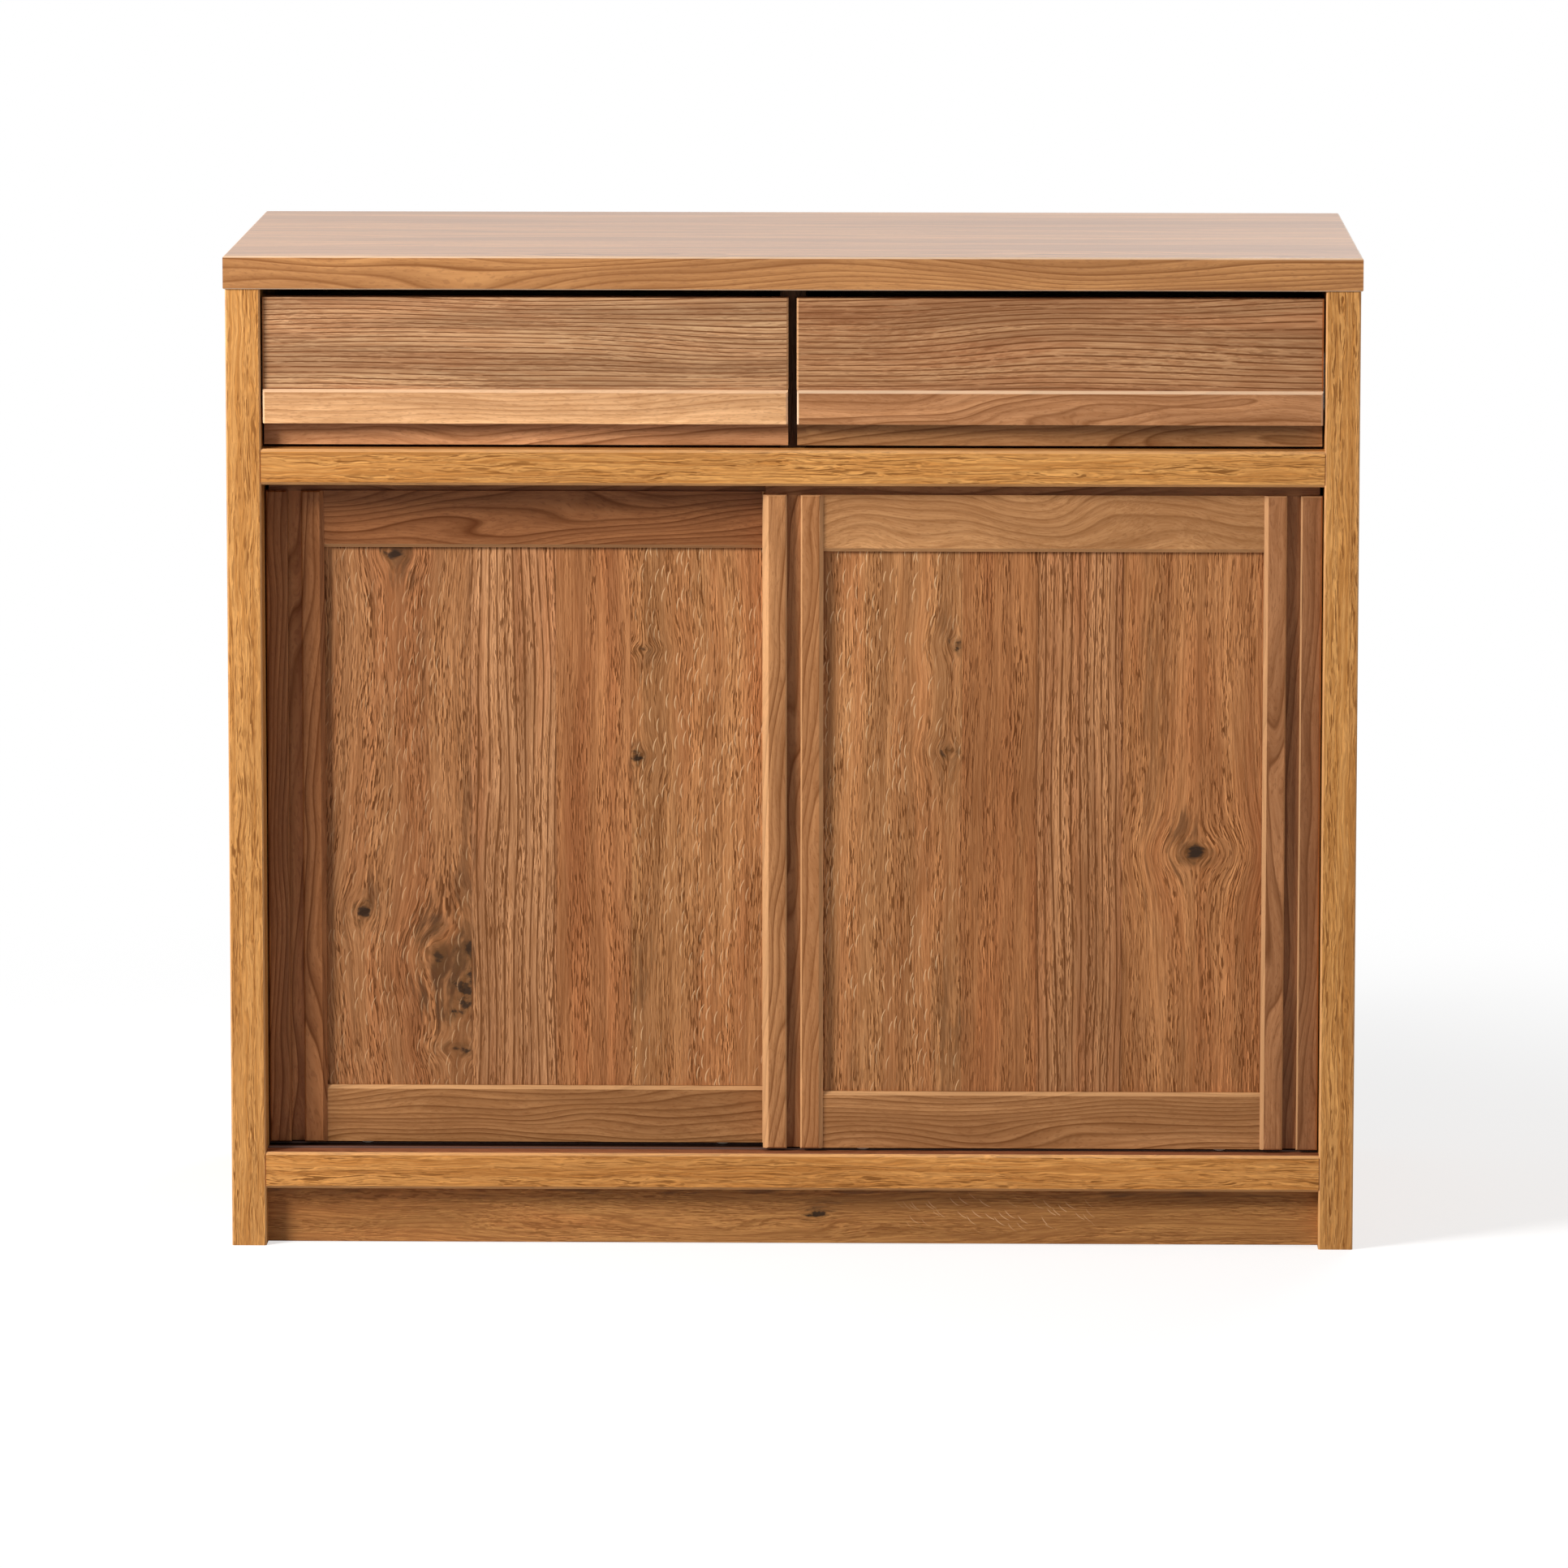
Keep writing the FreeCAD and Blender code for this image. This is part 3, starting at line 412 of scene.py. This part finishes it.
    tone = add(tree, "MixRGB MIX", fibre, middle, light)
    tone = add(tree, "MixRGB MIX", drift, tone, dark)
    tone = add(tree, "MixRGB MULTIPLY", red, tone, red_tone)
    for cloud in clouds:
        tone = add(tree, "MixRGB MIX", cloud, tone, smoke_and_shade_tone)
    tone = add(tree, "MixRGB MULTIPLY", pale, tone, fibre_and_highlight_lift)
    tone = add(tree, "MixRGB MIX", pores, tone, dark)
    tone = add(tree, "MixRGB MIX", row, tone, dark)
    if planks:
        tone = add(tree, "MixRGB MULTIPLY", 1.0, tone, tint)
        tone = add(tree, "MixRGB MULTIPLY", joint, tone, shade("#DDD7D1"))
        ray = add(tree, "Math MULTIPLY", ray_flecks(tree, straight, ray_cell), flecks)
        tone = add(tree, "MixRGB MIX", ray, tone, ray_tone)
    if crossed:
        along, across, length, width, turn = crossed
        reach = oval(tree, flat, corner + Vector((along, across, 0)), length, width)
        patch = add(tree, "MapRange SMOOTHSTEP", reach, 0.5, 1.1, 0.8, 0.0)
        ray = ray_flecks(tree, flat, crossed_cell, math.radians(turn))
        tone = add(tree, "MixRGB MIX", add(tree, "Math MULTIPLY", ray, patch), tone, ray_tone)
    for share, stain in stains:
        tone = add(tree, "MixRGB MIX", share, tone, stain)
    lacquered(tree, tone, add(tree, "Math MAXIMUM", row, pores), roughness, pore_depth)
    return made


# A place on a board is two lengths in mm from its lower left corner: along its grain, and across.
# A knot is: its place, reach of its bend, core, stretch along the grain, strength. Smoke, and each
# band of painted shade in its tone, is: its place, half length and half width, strength. Crossed
# rays are: the place, half length and half width of their patch, and their turn in degrees.
kick_knots = [(442, 25.5, 7, 4.2, 1.5, 0.95)]
# The second smoke entry is no smoke: it is a painted shadow along the top edge, under the bottom rail.
kick_smoke_and_shade = [(445, 33.5, 18, 8, 0.6), (421, 46.5, 600, 7, 0.8)]
kick_rays = (579, 25.5, 110, 17, -48)
kick_sway = (260, 40, 12)
kick_oak = open_oak("brown_oak_veneer_brushed_matt", "kick_board", "X", (0, 900, 0),
                    ("#C38A4E", "#AB733F", "#77471F"), ring=3.6, sway=kick_sway, rows=0.42, pored=0.45,
                    knots=kick_knots, smoke_and_shade=kick_smoke_and_shade, crossed=kick_rays)
wear(kick_oak, "kick_board")


# Back panel
# A thin hardboard sheet in rebates, screwed to the carcass. Its printed face is plain and pale
# brown. The grit of pressed fibres is drawn 2 mm wide, coarser than it is, so that it shows.
def pressed_board(name, light, dark):
    """Pressed fibres: grit in two tones, with soft clouds."""
    grit_size = (2.2, 2.2)
    cloud_size = (90, 90)
    made, tree = begin(name)
    place = board_place(tree, "X")
    grit = strands(tree, place, grit_size, (0.35, 0.65), detail=4)
    cloud = strands(tree, place, cloud_size, (0.3, 0.7), (0.0, 0.3), detail=3)
    tone = add(tree, "MixRGB MIX", grit, shade(dark), shade(light))
    tone = add(tree, "MixRGB MIX", cloud, tone, shade(dark))
    lacquered(tree, tone, grit, roughness=0.6, depth=0.05)
    return made


wear(pressed_board("hardboard_pressed_printed", "#B98F63", "#A1784E"), "back_panel")

# Dowels, cams and screws
# Turned beech dowels and die-cast zinc cams join the boards, and plated screws hold the back
# panel. The beech is bare and flecked, the cast zinc is grainy, and the plating is brighter.
beech, tree = begin("beech_turned_bare")
fleck_size = (2.0, 0.6)
beech_fleck = strands(tree, board_place(tree, "X"), fleck_size, (0.6, 0.7), (0.0, 0.6), detail=1)
beech_tone = add(tree, "MixRGB MIX", beech_fleck, shade("#DDBB8C"), shade("#B98E5C"))
lacquered(tree, beech_tone, beech_fleck, roughness=0.65, depth=0.05)
wear(beech, "dowels")


def worked_metal(name, colour, roughness, mark, relief):
    """Bare or plated metal: faint marks of working, of that length and width in millimetres. They
    are drawn coarser than real ones, so that they show."""
    smoothest, roughest = 0.8 * roughness, 1.25 * roughness
    made, tree = begin(name)
    marks = streaks(tree, board_place(tree, "Y"), *mark, detail=3)
    rough = add(tree, "MapRange SMOOTHSTEP", marks, 0.3, 0.7, smoothest, roughest)
    dent = add(tree, "Bump", Strength=0.4, Distance=relief * MM, Height=marks)
    body = add(tree, "BsdfPrincipled", shade(colour), Metallic=1.0, Roughness=rough, Normal=dent)
    add(tree, "OutputMaterial", body)
    return made


cast_zinc = worked_metal("zinc_alloy_die_cast", "#B4B6B8", roughness=0.42, mark=(1.5, 1.5), relief=0.06)
plated_steel = worked_metal("steel_zinc_plated", "#C6C8C6", roughness=0.3, mark=(14, 0.6), relief=0.03)
wear(cast_zinc, "cam_fasteners")
wear(plated_steel, "back_panel_screws", "shelf_pins")


# Tracks and guide channels
# Extruded brown PVC with a soft sheen: two strips with a round bead let into the bottom rail, and
# two gutters let into the underside of the mid rail.
def dyed_plastic(name, colour, roughness):
    """Plastic dyed through. The grit of the tool shows as a slightly uneven sheen, and is drawn
    1.2 mm wide, coarser than it is."""
    plastic_ior = 1.5
    grit_size = (1.2, 1.2)
    grit_tone = 0.25
    grit_depth = 0.03
    smoothest, roughest = 0.9 * roughness, 1.15 * roughness
    made, tree = begin(name)
    grit = strands(tree, board_place(tree, "X"), grit_size, (0.3, 0.7))
    faint = add(tree, "Math MULTIPLY", grit, grit_tone)
    tone = add(tree, "MixRGB SOFT_LIGHT", faint, shade(colour), shade("#FFFFFF"))
    rough = add(tree, "MapRange LINEAR", grit, 0.0, 1.0, smoothest, roughest)
    dent = add(tree, "Bump", Strength=0.3, Distance=grit_depth * MM, Height=grit)
    body = add(tree, "BsdfPrincipled", tone, Roughness=rough, IOR=plastic_ior, Normal=dent)
    add(tree, "OutputMaterial", body)
    return made


track_plastic = dyed_plastic("pvc_extruded_brown", "#4A2A1C", roughness=0.5)
wear(track_plastic, "bottom_tracks", "top_guide_channels")

# Shelves
# Two loose boards with the same pale matt oak print as the decks, each on four plated pins in the
# side panel and the partition.
wear(printed_level, "shelf_left", "shelf_right")

# Drawer faces
# Boards of brushed oak veneer under a matt lacquer. The grain runs across the drawer in slow waves,
# with a dark row of pores every 4 mm. The left face is a little paler than the right one.
face_sway = (420, 90, 15)
left_face = open_oak("oak_veneer_brushed_left_drawer", "drawer_left_face", "X", (0, 310, 30),
                     ("#DAAC7E", "#C18E62", "#6C3F20"), ring=4.0, sway=face_sway, rows=1.0, pored=0.3)
right_face = open_oak("oak_veneer_brushed_right_drawer", "drawer_right_face", "X", (620, 90, 60),
                      ("#CB996C", "#B27D53", "#724322"), ring=4.2, sway=face_sway, rows=1.0, pored=0.3)
wear(left_face, "drawer_left_face")
wear(right_face, "drawer_right_face")


# Pull bars and lower strips
# Solid bars of close-grained oak, planed and satin, glued under each face: the left one is pale, the
# right one brown with long darker tongues. Behind each, a lower strip leaves room for the fingers.
def smooth_oak(name, node, grain, seed, colour, ring, pith, lean, sway, depth=0.9, roughness=0.4,
               gloss=0.25, arris_wear_and_highlight="#EDB983", arris_wear_and_highlight_share=0.38, painted_light_stripe=None, banded=0.4):
    """Close-grained wood, planed: thin dark growth lines that swell into long tongues. The pith says
    how far from the board's face the heart of its log lies, across and into it, and a stripe changes
    the tone of one strip from end to end, mostly as painted light and shade."""
    light_gain = (1.25, 1.35, 1.48)
    dark_gain = (0.37, 0.28, 0.2)
    late_wood = [(0, 0.5), (0.07, 0.0), (0.4, 0.08), (0.78, 0.5), (0.92, 1.0), (1, 0.5)]
    faintest_line = 0.45 * depth
    ring_tone = 0.22
    fibre_size = (60, 1.6)
    small_drift = (180, 16)
    broad_drift = (700, 40)
    pore_size = (7, 1.0)
    pore_depth = 0.04
    log_step = Vector((700, 300, 90))
    made, tree = begin(name)
    middle = shade(colour)
    light = (*(part * gain for part, gain in zip(middle, light_gain)), 1)
    dark = (*(part * gain for part, gain in zip(middle, dark_gain)), 1)
    start = seed * log_step
    place = swayed(tree, board_place(tree, grain, start), *sway)
    low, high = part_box(node)
    x, y, z = (low.x + high.x) / 2 / MM, low.y / MM, (low.z + high.z) / 2 / MM
    face = Vector({"X": (x, z, y), "Z": (z, x, y)}[grain])
    phase, chance = log_rings(tree, place, start + face + Vector((0, *pith)), lean, ring)
    late = add(tree, "ValToRGB LINEAR", phase, stops=late_wood)
    some = add(tree, "MapRange LINEAR", chance, 0.0, 1.0, faintest_line, depth)
    late = add(tree, "Math MULTIPLY", late, some)
    fibre = strands(tree, place, fibre_size, (0.34, 0.66), detail=3)
    drift = strands(tree, place, small_drift, (0.4, 0.75), (0.0, 0.4))
    broad = strands(tree, place, broad_drift, (0.38, 0.66), (0.0, banded))
    pores = strands(tree, place, pore_size, (0.56, 0.66), (0.0, 0.3), detail=1)
    tone = add(tree, "MixRGB MIX", fibre, middle, light)
    tone = add(tree, "MixRGB MIX", add(tree, "Math MAXIMUM", drift, broad), tone, dark)
    tone = add(tree, "MixRGB MIX", add(tree, "Math MULTIPLY", chance, ring_tone), tone, dark)
    tone = add(tree, "MixRGB MIX", pores, tone, dark)
    tone = add(tree, "MixRGB MIX", late, tone, dark)
    # A stripe is painted light and shade along one strip from end to end, partly the wood's own tone.
    if painted_light_stripe:
        left, right, gain = painted_light_stripe
        aside = add(tree, "SeparateXYZ", add(tree, "TexCoord").outputs["Object"]).outputs["X"]
        centre = low.x + (left + right) / 2 * MM
        inside = add(tree, "Math COMPARE", aside, centre, (right - left) / 2 * MM)
        tone = add(tree, "MixRGB MULTIPLY", inside, tone, (gain, gain, gain, 1))
    lacquered(tree, tone, late, roughness, pore_depth, gloss, arris_wear_and_highlight, arris_wear_and_highlight_share)
    return made


# Each bar is: material, node, colour, ring, pith, lean, sway, strength of its growth lines, and the
# colour and strength of its pale arrises, partly sanded wear and partly a painted highlight. Rings,
# piths and sways are in mm, and a lean is in radians. A sway is how long and wide its waves are, and how
# far they reach.
bars = (
    ("oak_planed_pale_bar", "drawer_left_pull_bar", "#E9AF79", 4,
     (-26, 12), (0.0, 0.03), (240, 60, 10), 0.55, "#FFDDB8", 0.4),
    ("oak_planed_brown_bar", "drawer_right_pull_bar", "#C88B5B", 7,
     (-14, 10), (0.02, 0.09), (150, 40, 16), 0.9, "#FFDDB8", 0.6),
    ("oak_planed_pale_strip", "drawer_left_lower_strip", "#CC9060", 5,
     (-20, 16), (0.0, 0.06), (180, 50, 12), 0.9, "#EDB983", 0.38),
    ("oak_planed_brown_strip", "drawer_right_lower_strip", "#B5804F", 5,
     (-22, 16), (0.03, 0.05), (180, 50, 12), 0.9, "#EDB983", 0.38))
for seed, (name, node, colour, ring, pith, lean, sway, depth, arris_wear_and_highlight, arris_wear_and_highlight_share) in enumerate(bars, 1):
    oak = smooth_oak(name, node, "X", seed, colour, ring, pith, lean, sway, depth, arris_wear_and_highlight=arris_wear_and_highlight, arris_wear_and_highlight_share=arris_wear_and_highlight_share)
    wear(oak, node)

# Drawer boxes
# Four boards of bare paulownia round a thin bottom: very pale, straight and even in grain, with no
# lacquer sheen to speak of.
box_tones = ("#E3CBA2", "#D8BE93", "#C4A678")
box_start = (70, 410, 90)
box_roughness = 0.55
box_board = fine_oak("paulownia_planed_bare_across", "X", box_start, box_tones, box_roughness)
box_depth = fine_oak("paulownia_planed_bare_deep", "Y", box_start, box_tones, box_roughness)
for side in ("left", "right"):
    wear(box_board, f"drawer_{side}_box_front", f"drawer_{side}_box_back", f"drawer_{side}_box_bottom")
    wear(box_depth, f"drawer_{side}_box_sides")

# Drawer slides
# Cold-rolled steel channels with a bright zinc plating, and two rows of steel balls between each
# pair. The rolling leaves faint lines along them.
slide_steel = worked_metal("steel_cold_rolled_zinc_plated", "#C2C6C9", roughness=0.28, mark=(24, 0.8),
                           relief=0.03)
for side in ("left", "right"):
    wear(slide_steel, f"cabinet_slides_{side}", f"middle_slides_{side}", f"drawer_{side}_slides")

# Door frames
# Each door has two stiles and two rails of planed brown oak, oiled. Both stiles have a finger
# groove from end to end, and their front arrises are bevelled and catch the light.

# Each board is: door, part, colour, ring, pith, lean, sway, strength of its growth lines, with the
# same meanings as for the bars.
frame_boards = (
    ("left", "outer_stile", "#A76A3D", 6, (30, 16), (0.03, 0.05), (190, 40, 16), 1.0),
    ("left", "meeting_stile", "#B07243", 5, (-34, 14), (0.05, 0.08), (160, 30, 12), 1.0),
    ("left", "top_rail", "#985F36", 5.5, (-34, 14), (0.02, 0.06), (190, 50, 18), 1.0),
    ("left", "bottom_rail", "#B07948", 4.8, (-34, 8), (0.02, 0.03), (170, 50, 15), 1.0),
    ("right", "outer_stile", "#AB7247", 7, (-30, 16), (0.03, 0.05), (190, 40, 16), 0.8),
    ("right", "meeting_stile", "#C88955", 5, (-34, 14), (0.05, 0.08), (160, 30, 12), 1.0),
    ("right", "top_rail", "#CA905B", 9, (-60, 14), (0.01, 0.05), (150, 110, 34), 0.6),
    ("right", "bottom_rail", "#B9804E", 4.4, (-38, 12), (0.02, 0.03), (220, 50, 13), 1.0))
# The left door's outer stile is paler in its groove, as painted light, and gets no paler arris tone.
# The right door's stiles are darker in a stripe: outside the groove of the outer one, as painted
# shade beside the right side panel, and in the groove and beside the bevel of the meeting one, as
# the wood's tone on the flat and painted shade in the groove, which leaves the bevel paler as a
# painted highlight. A stripe is: where it starts and ends, in mm from the stile's left edge, and its
# gain.
painted_light_stripes = {
    "door_left_outer_stile": (17, 28, 1.4),
    "door_right_outer_stile": (29, 46.2, 0.85),
    "door_right_meeting_stile": (4.5, 30, 0.87)}
arris_wear_and_highlight_shares = {"door_left_outer_stile": 0.0}
for seed, (side, part, colour, ring, pith, lean, sway, depth) in enumerate(frame_boards, 5):
    node = f"door_{side}_{part}"
    grain = "X" if "rail" in part else "Z"
    oak = smooth_oak(f"oak_planed_oiled_{side}_{part}", node, grain, seed, colour, ring, pith, lean, sway,
                     depth, arris_wear_and_highlight_share=arris_wear_and_highlight_shares.get(node, 0.38), painted_light_stripe=painted_light_stripes.get(node))
    wear(oak, node)

# Door panels
# Thin boards faced with oak planks of four kinds, brushed and matt: knotty, ruled with straight
# dark rows of pores, plain reddish, and flecked with short pale rays.

# Each plank is: its left edge in mm from the panel's, tint, strength of its pore rows and of its
# flecks, place in the log.
panel_start = (0, 0, 0)
panel_tones = ("#D79C6D", "#B77E51", "#6C3F1E")
panel_ring = 5.4
panel_sway = (260, 60, 5)
panel_pored = 0.7
left_planks = [(0, "#DFD6C6", 0.25, 0.6, 0.1), (124, "#FFFFFC", 0.95, 0.0, 0.35),
               (192, "#F0E2CE", 0.2, 0.0, 0.6), (252, "#F5F0DD", 0.25, 1.0, 0.85)]
left_knots = [(439, 63, 16, 6.5, 0.8, 0.95), (148, 40, 12, 5, 1.3, 0.95), (115, 95, 30, 4, 1.4, 0.9),
              (120, 105, 8, 7, 1.5, 0.85), (84, 107, 9, 4, 3.4, 0.9), (95, 115, 6, 3.5, 2.6, 0.9),
              (37, 109, 12, 5, 0.6, 0.9), (361, 262, 10, 4.5, 0.5, 0.7), (275, 258, 12, 5, 0.8, 1.0)]
left_smoke = [(106, 102, 58, 25, 1.0), (162, 44, 20, 9, 0.75), (430, 70, 26, 10, 0.7),
              (354, 265, 24, 9, 0.5), (268, 261, 20, 9, 0.6), (105, 259, 52, 12, 0.6),
              (214, 120, 100, 9, 0.5), (324, 86, 90, 6, 0.35)]
left_panel = open_oak("oak_planks_brushed_left_door", "door_left_panel", "Z", panel_start, panel_tones,
                      panel_ring, panel_sway, pored=panel_pored, knots=left_knots, smoke_and_shade=left_smoke,
                      planks=left_planks)
right_planks = [(0, "#FBF6E4", 0.2, 1.0, 0.15), (117.5, "#E8D8C1", 0.2, 0.0, 0.4),
                (177.5, "#FCF8F0", 0.95, 0.0, 0.65), (245.5, "#FBF0DB", 0.3, 0.05, 0.9)]
right_knots = [(369, 111.5, 12, 5, 0.8, 1.0), (283, 107.5, 11, 4.5, 0.7, 0.75),
               (201, 306.5, 26, 8, 0.6, 1.0)]
# The last smoke entry is painted shade: a broad faint band across the panel, darker towards the bottom.
right_smoke_and_shade = [(208, 295.5, 34, 14, 0.8), (376, 107.5, 22, 9, 0.5), (276, 104.5, 26, 9, 0.5),
               (70, 104.5, 50, 12, 0.55), (304, 268.5, 120, 10, 0.5), (4, 183.5, 130, 260, 0.22)]
right_panel = open_oak("oak_planks_brushed_right_door", "door_right_panel", "Z", panel_start, panel_tones,
                       panel_ring, panel_sway, pored=panel_pored, knots=right_knots, smoke_and_shade=right_smoke_and_shade,
                       planks=right_planks)
wear(left_panel, "door_left_panel")
wear(right_panel, "door_right_panel")

# Rollers, wheels and top guides
# The doors stand on moulded white nylon wheels in brown ABS housings, and ABS blades at their
# tops run in the channels. The nylon is waxy, and the ABS has a fine satin grit.
nylon = dyed_plastic("nylon_moulded_white", "#C2BAA9", roughness=0.35)
fitting = dyed_plastic("abs_moulded_brown", "#5A3C26", roughness=0.45)
for side in ("left", "right"):
    wear(nylon, f"door_{side}_outer_wheel", f"door_{side}_meeting_wheel")
    wear(fitting, f"door_{side}_rollers", f"door_{side}_top_guides")

# Top tongues
# A strip of the same planed and oiled oak is set into the top edge of each door, in the middle of
# its thickness, where the guide blades also stand. It fills most of the gap under the mid rail.
tongue_oak = smooth_oak("oak_planed_oiled_tongue", "door_right_top_rail", "X", seed=30, colour="#A06A40",
                        ring=5, pith=(-6, 10), lean=(0.02, 0.05), sway=(200, 40, 12))
tongue_inset = 2 * MM
tongue_rise = 7 * MM
tongue_sunk = 0.4 * MM
tongue_width = 8 * MM
tongue_bevel = 0.8 * MM
for side in ("left", "right"):
    rail_low, rail_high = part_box(f"door_{side}_top_rail")
    outer_low, outer_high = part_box(f"door_{side}_outer_stile")
    meeting_low, meeting_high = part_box(f"door_{side}_meeting_stile")
    left_end = min(outer_low.x, meeting_low.x) + tongue_inset
    right_end = max(outer_high.x, meeting_high.x) - tongue_inset
    centre_y = (meeting_low.y + meeting_high.y) / 2
    centre_z = rail_high.z + (tongue_rise - tongue_sunk) / 2
    strip = bmesh.new()
    bmesh.ops.create_cube(strip, size=1)
    bmesh.ops.scale(strip, verts=strip.verts,
                    vec=(right_end - left_end, tongue_width, tongue_rise + tongue_sunk))
    bmesh.ops.translate(strip, verts=strip.verts, vec=((left_end + right_end) / 2, centre_y, centre_z))
    top_edges = [edge for edge in strip.edges if min(v.co.z for v in edge.verts) > centre_z]
    bmesh.ops.bevel(strip, geom=top_edges, offset=tongue_bevel, affect="EDGES", segments=2,
                    profile=0.5, material=-1)
    data = bpy.data.meshes.new(f"door_{side}_top_tongue")
    strip.to_mesh(data)
    strip.free()
    data.materials.append(tongue_oak)
    tongue = bpy.data.objects.new(f"door_{side}_top_tongue", data)
    bpy.context.scene.collection.objects.link(tongue)
    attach(tongue, f"door_{side}")

# Top slab
# A thick slab faced with close-grained oak, under a glossier lacquer that turns pale at a low angle.
# Its top edges are rounded over, and long flat tongues run across the cabinet.
# The near-white arris tone and its large share are partly wear and partly a painted highlight along the
# rounded top edges.
slab_oak = smooth_oak("oak_veneer_slab_satin", "top_slab", "X", seed=20, colour="#D09052", ring=4.4,
                      pith=(34, 16), lean=(0.008, 0.02), sway=(300, 60, 18), depth=1.0, roughness=0.3,
                      gloss=0.7, arris_wear_and_highlight="#FFE2C2", arris_wear_and_highlight_share=0.55, banded=0.5)
wear(slab_oak, "top_slab")

# Studio
# A pale painted floor that holds a soft shadow and turns to plain white further out, a large soft
# lamp from the upper left, a weak one from the right, one from behind, and pale surroundings.
floor_radius = 9
fade_from = 0.7
fade_to = 1.6
floor_glow = 0.62
white = shade("#FFFFFF")
floor_mesh = bmesh.new()
bmesh.ops.create_circle(floor_mesh, cap_ends=True, segments=96, radius=floor_radius)
floor_data = bpy.data.meshes.new("studio_floor")
floor_mesh.to_mesh(floor_data)
floor_mesh.free()
floor = bpy.data.objects.new("studio_floor", floor_data)
bpy.context.scene.collection.objects.link(floor)
floor_tone = shade("#BCBCBC")
seen_floor_tone = shade("#B4B4B4")
floor_paint, tree = begin("pale_floor_paint")
path = add(tree, "LightPath")
spread = add(tree, "VectorMath LENGTH", add(tree, "TexCoord").outputs["Object"]).outputs["Value"]
far = add(tree, "MapRange SMOOTHSTEP", spread, fade_from, fade_to)
paint = add(tree, "BsdfDiffuse", floor_tone)
shaded = add(tree, "BsdfDiffuse", seen_floor_tone)
near = add(tree, "AddShader", shaded, add(tree, "Emission", white, floor_glow))
seen = add(tree, "MixShader", far, near, add(tree, "Emission", white, 1.0))
add(tree, "OutputMaterial", add(tree, "MixShader", path.outputs["Is Camera Ray"], paint, seen))
floor.data.materials.append(floor_paint)

air_strength = 0.27
world = bpy.data.worlds.new("pale_studio")
world.use_nodes = True
world.cycles.sampling_method = "NONE"
tree = world.node_tree
tree.nodes.clear()
path = add(tree, "LightPath")
mirrored = add(tree, "Math MAXIMUM", path.outputs["Is Glossy Ray"], path.outputs["Is Transmission Ray"])
plain = add(tree, "Math MAXIMUM", path.outputs["Is Camera Ray"], mirrored)
air = add(tree, "Background", white, air_strength)
backdrop = add(tree, "Background", white, 1.0)
add(tree, "OutputWorld", add(tree, "MixShader", plain, air, backdrop))
bpy.context.scene.world = world

# Each lamp is: name, place and aim in metres, and power in watts.
lamp_size = 1.2
lamps = (("key_lamp", (-2.74, -2.09, 2.05), (0, -0.2, 0.4), 152),
         ("side_lamp", (2.6, -0.9, 1.3), (0.4, 0, 0.4), 14),
         ("rear_lamp", (0.9, 1.9, 2.5), (0, 0.2, 0.4), 20))
for name, place, aim, power in lamps:
    light = bpy.data.lights.new(name, "AREA")
    light.shape = "DISK"
    light.size = lamp_size
    light.energy = power
    lamp = bpy.data.objects.new(name, light)
    lamp.location = place
    lamp.rotation_euler = (Vector(aim) - Vector(place)).to_track_quat("-Z", "Y").to_euler()
    lamp.visible_camera = False
    bpy.context.scene.collection.objects.link(lamp)

# Camera
# It stands seven metres in front of the cabinet with a long lens, a little right of its middle and
# above its top, and looks slightly left and down.
camera_place = (0.1232, -7.2524, 1.3853)
pan = math.radians(0.996)
tilt = math.radians(7.836)
roll = math.radians(0.038)
lens = bpy.data.cameras.new("camera")
lens.lens = 205.12
lens.sensor_width = 36.0
lens.shift_x = -0.006
lens.shift_y = -0.034
lens.clip_end = 100.0
camera = bpy.data.objects.new("camera", lens)
turn = Matrix.Rotation(pan, 4, "Z") @ Matrix.Rotation(math.radians(90) - tilt, 4, "X")
turn = turn @ Matrix.Rotation(roll, 4, "Z")
camera.matrix_world = Matrix.Translation(camera_place) @ turn
bpy.context.scene.collection.objects.link(camera)
bpy.context.scene.camera = camera
bpy.context.scene.view_settings.view_transform = "Standard"
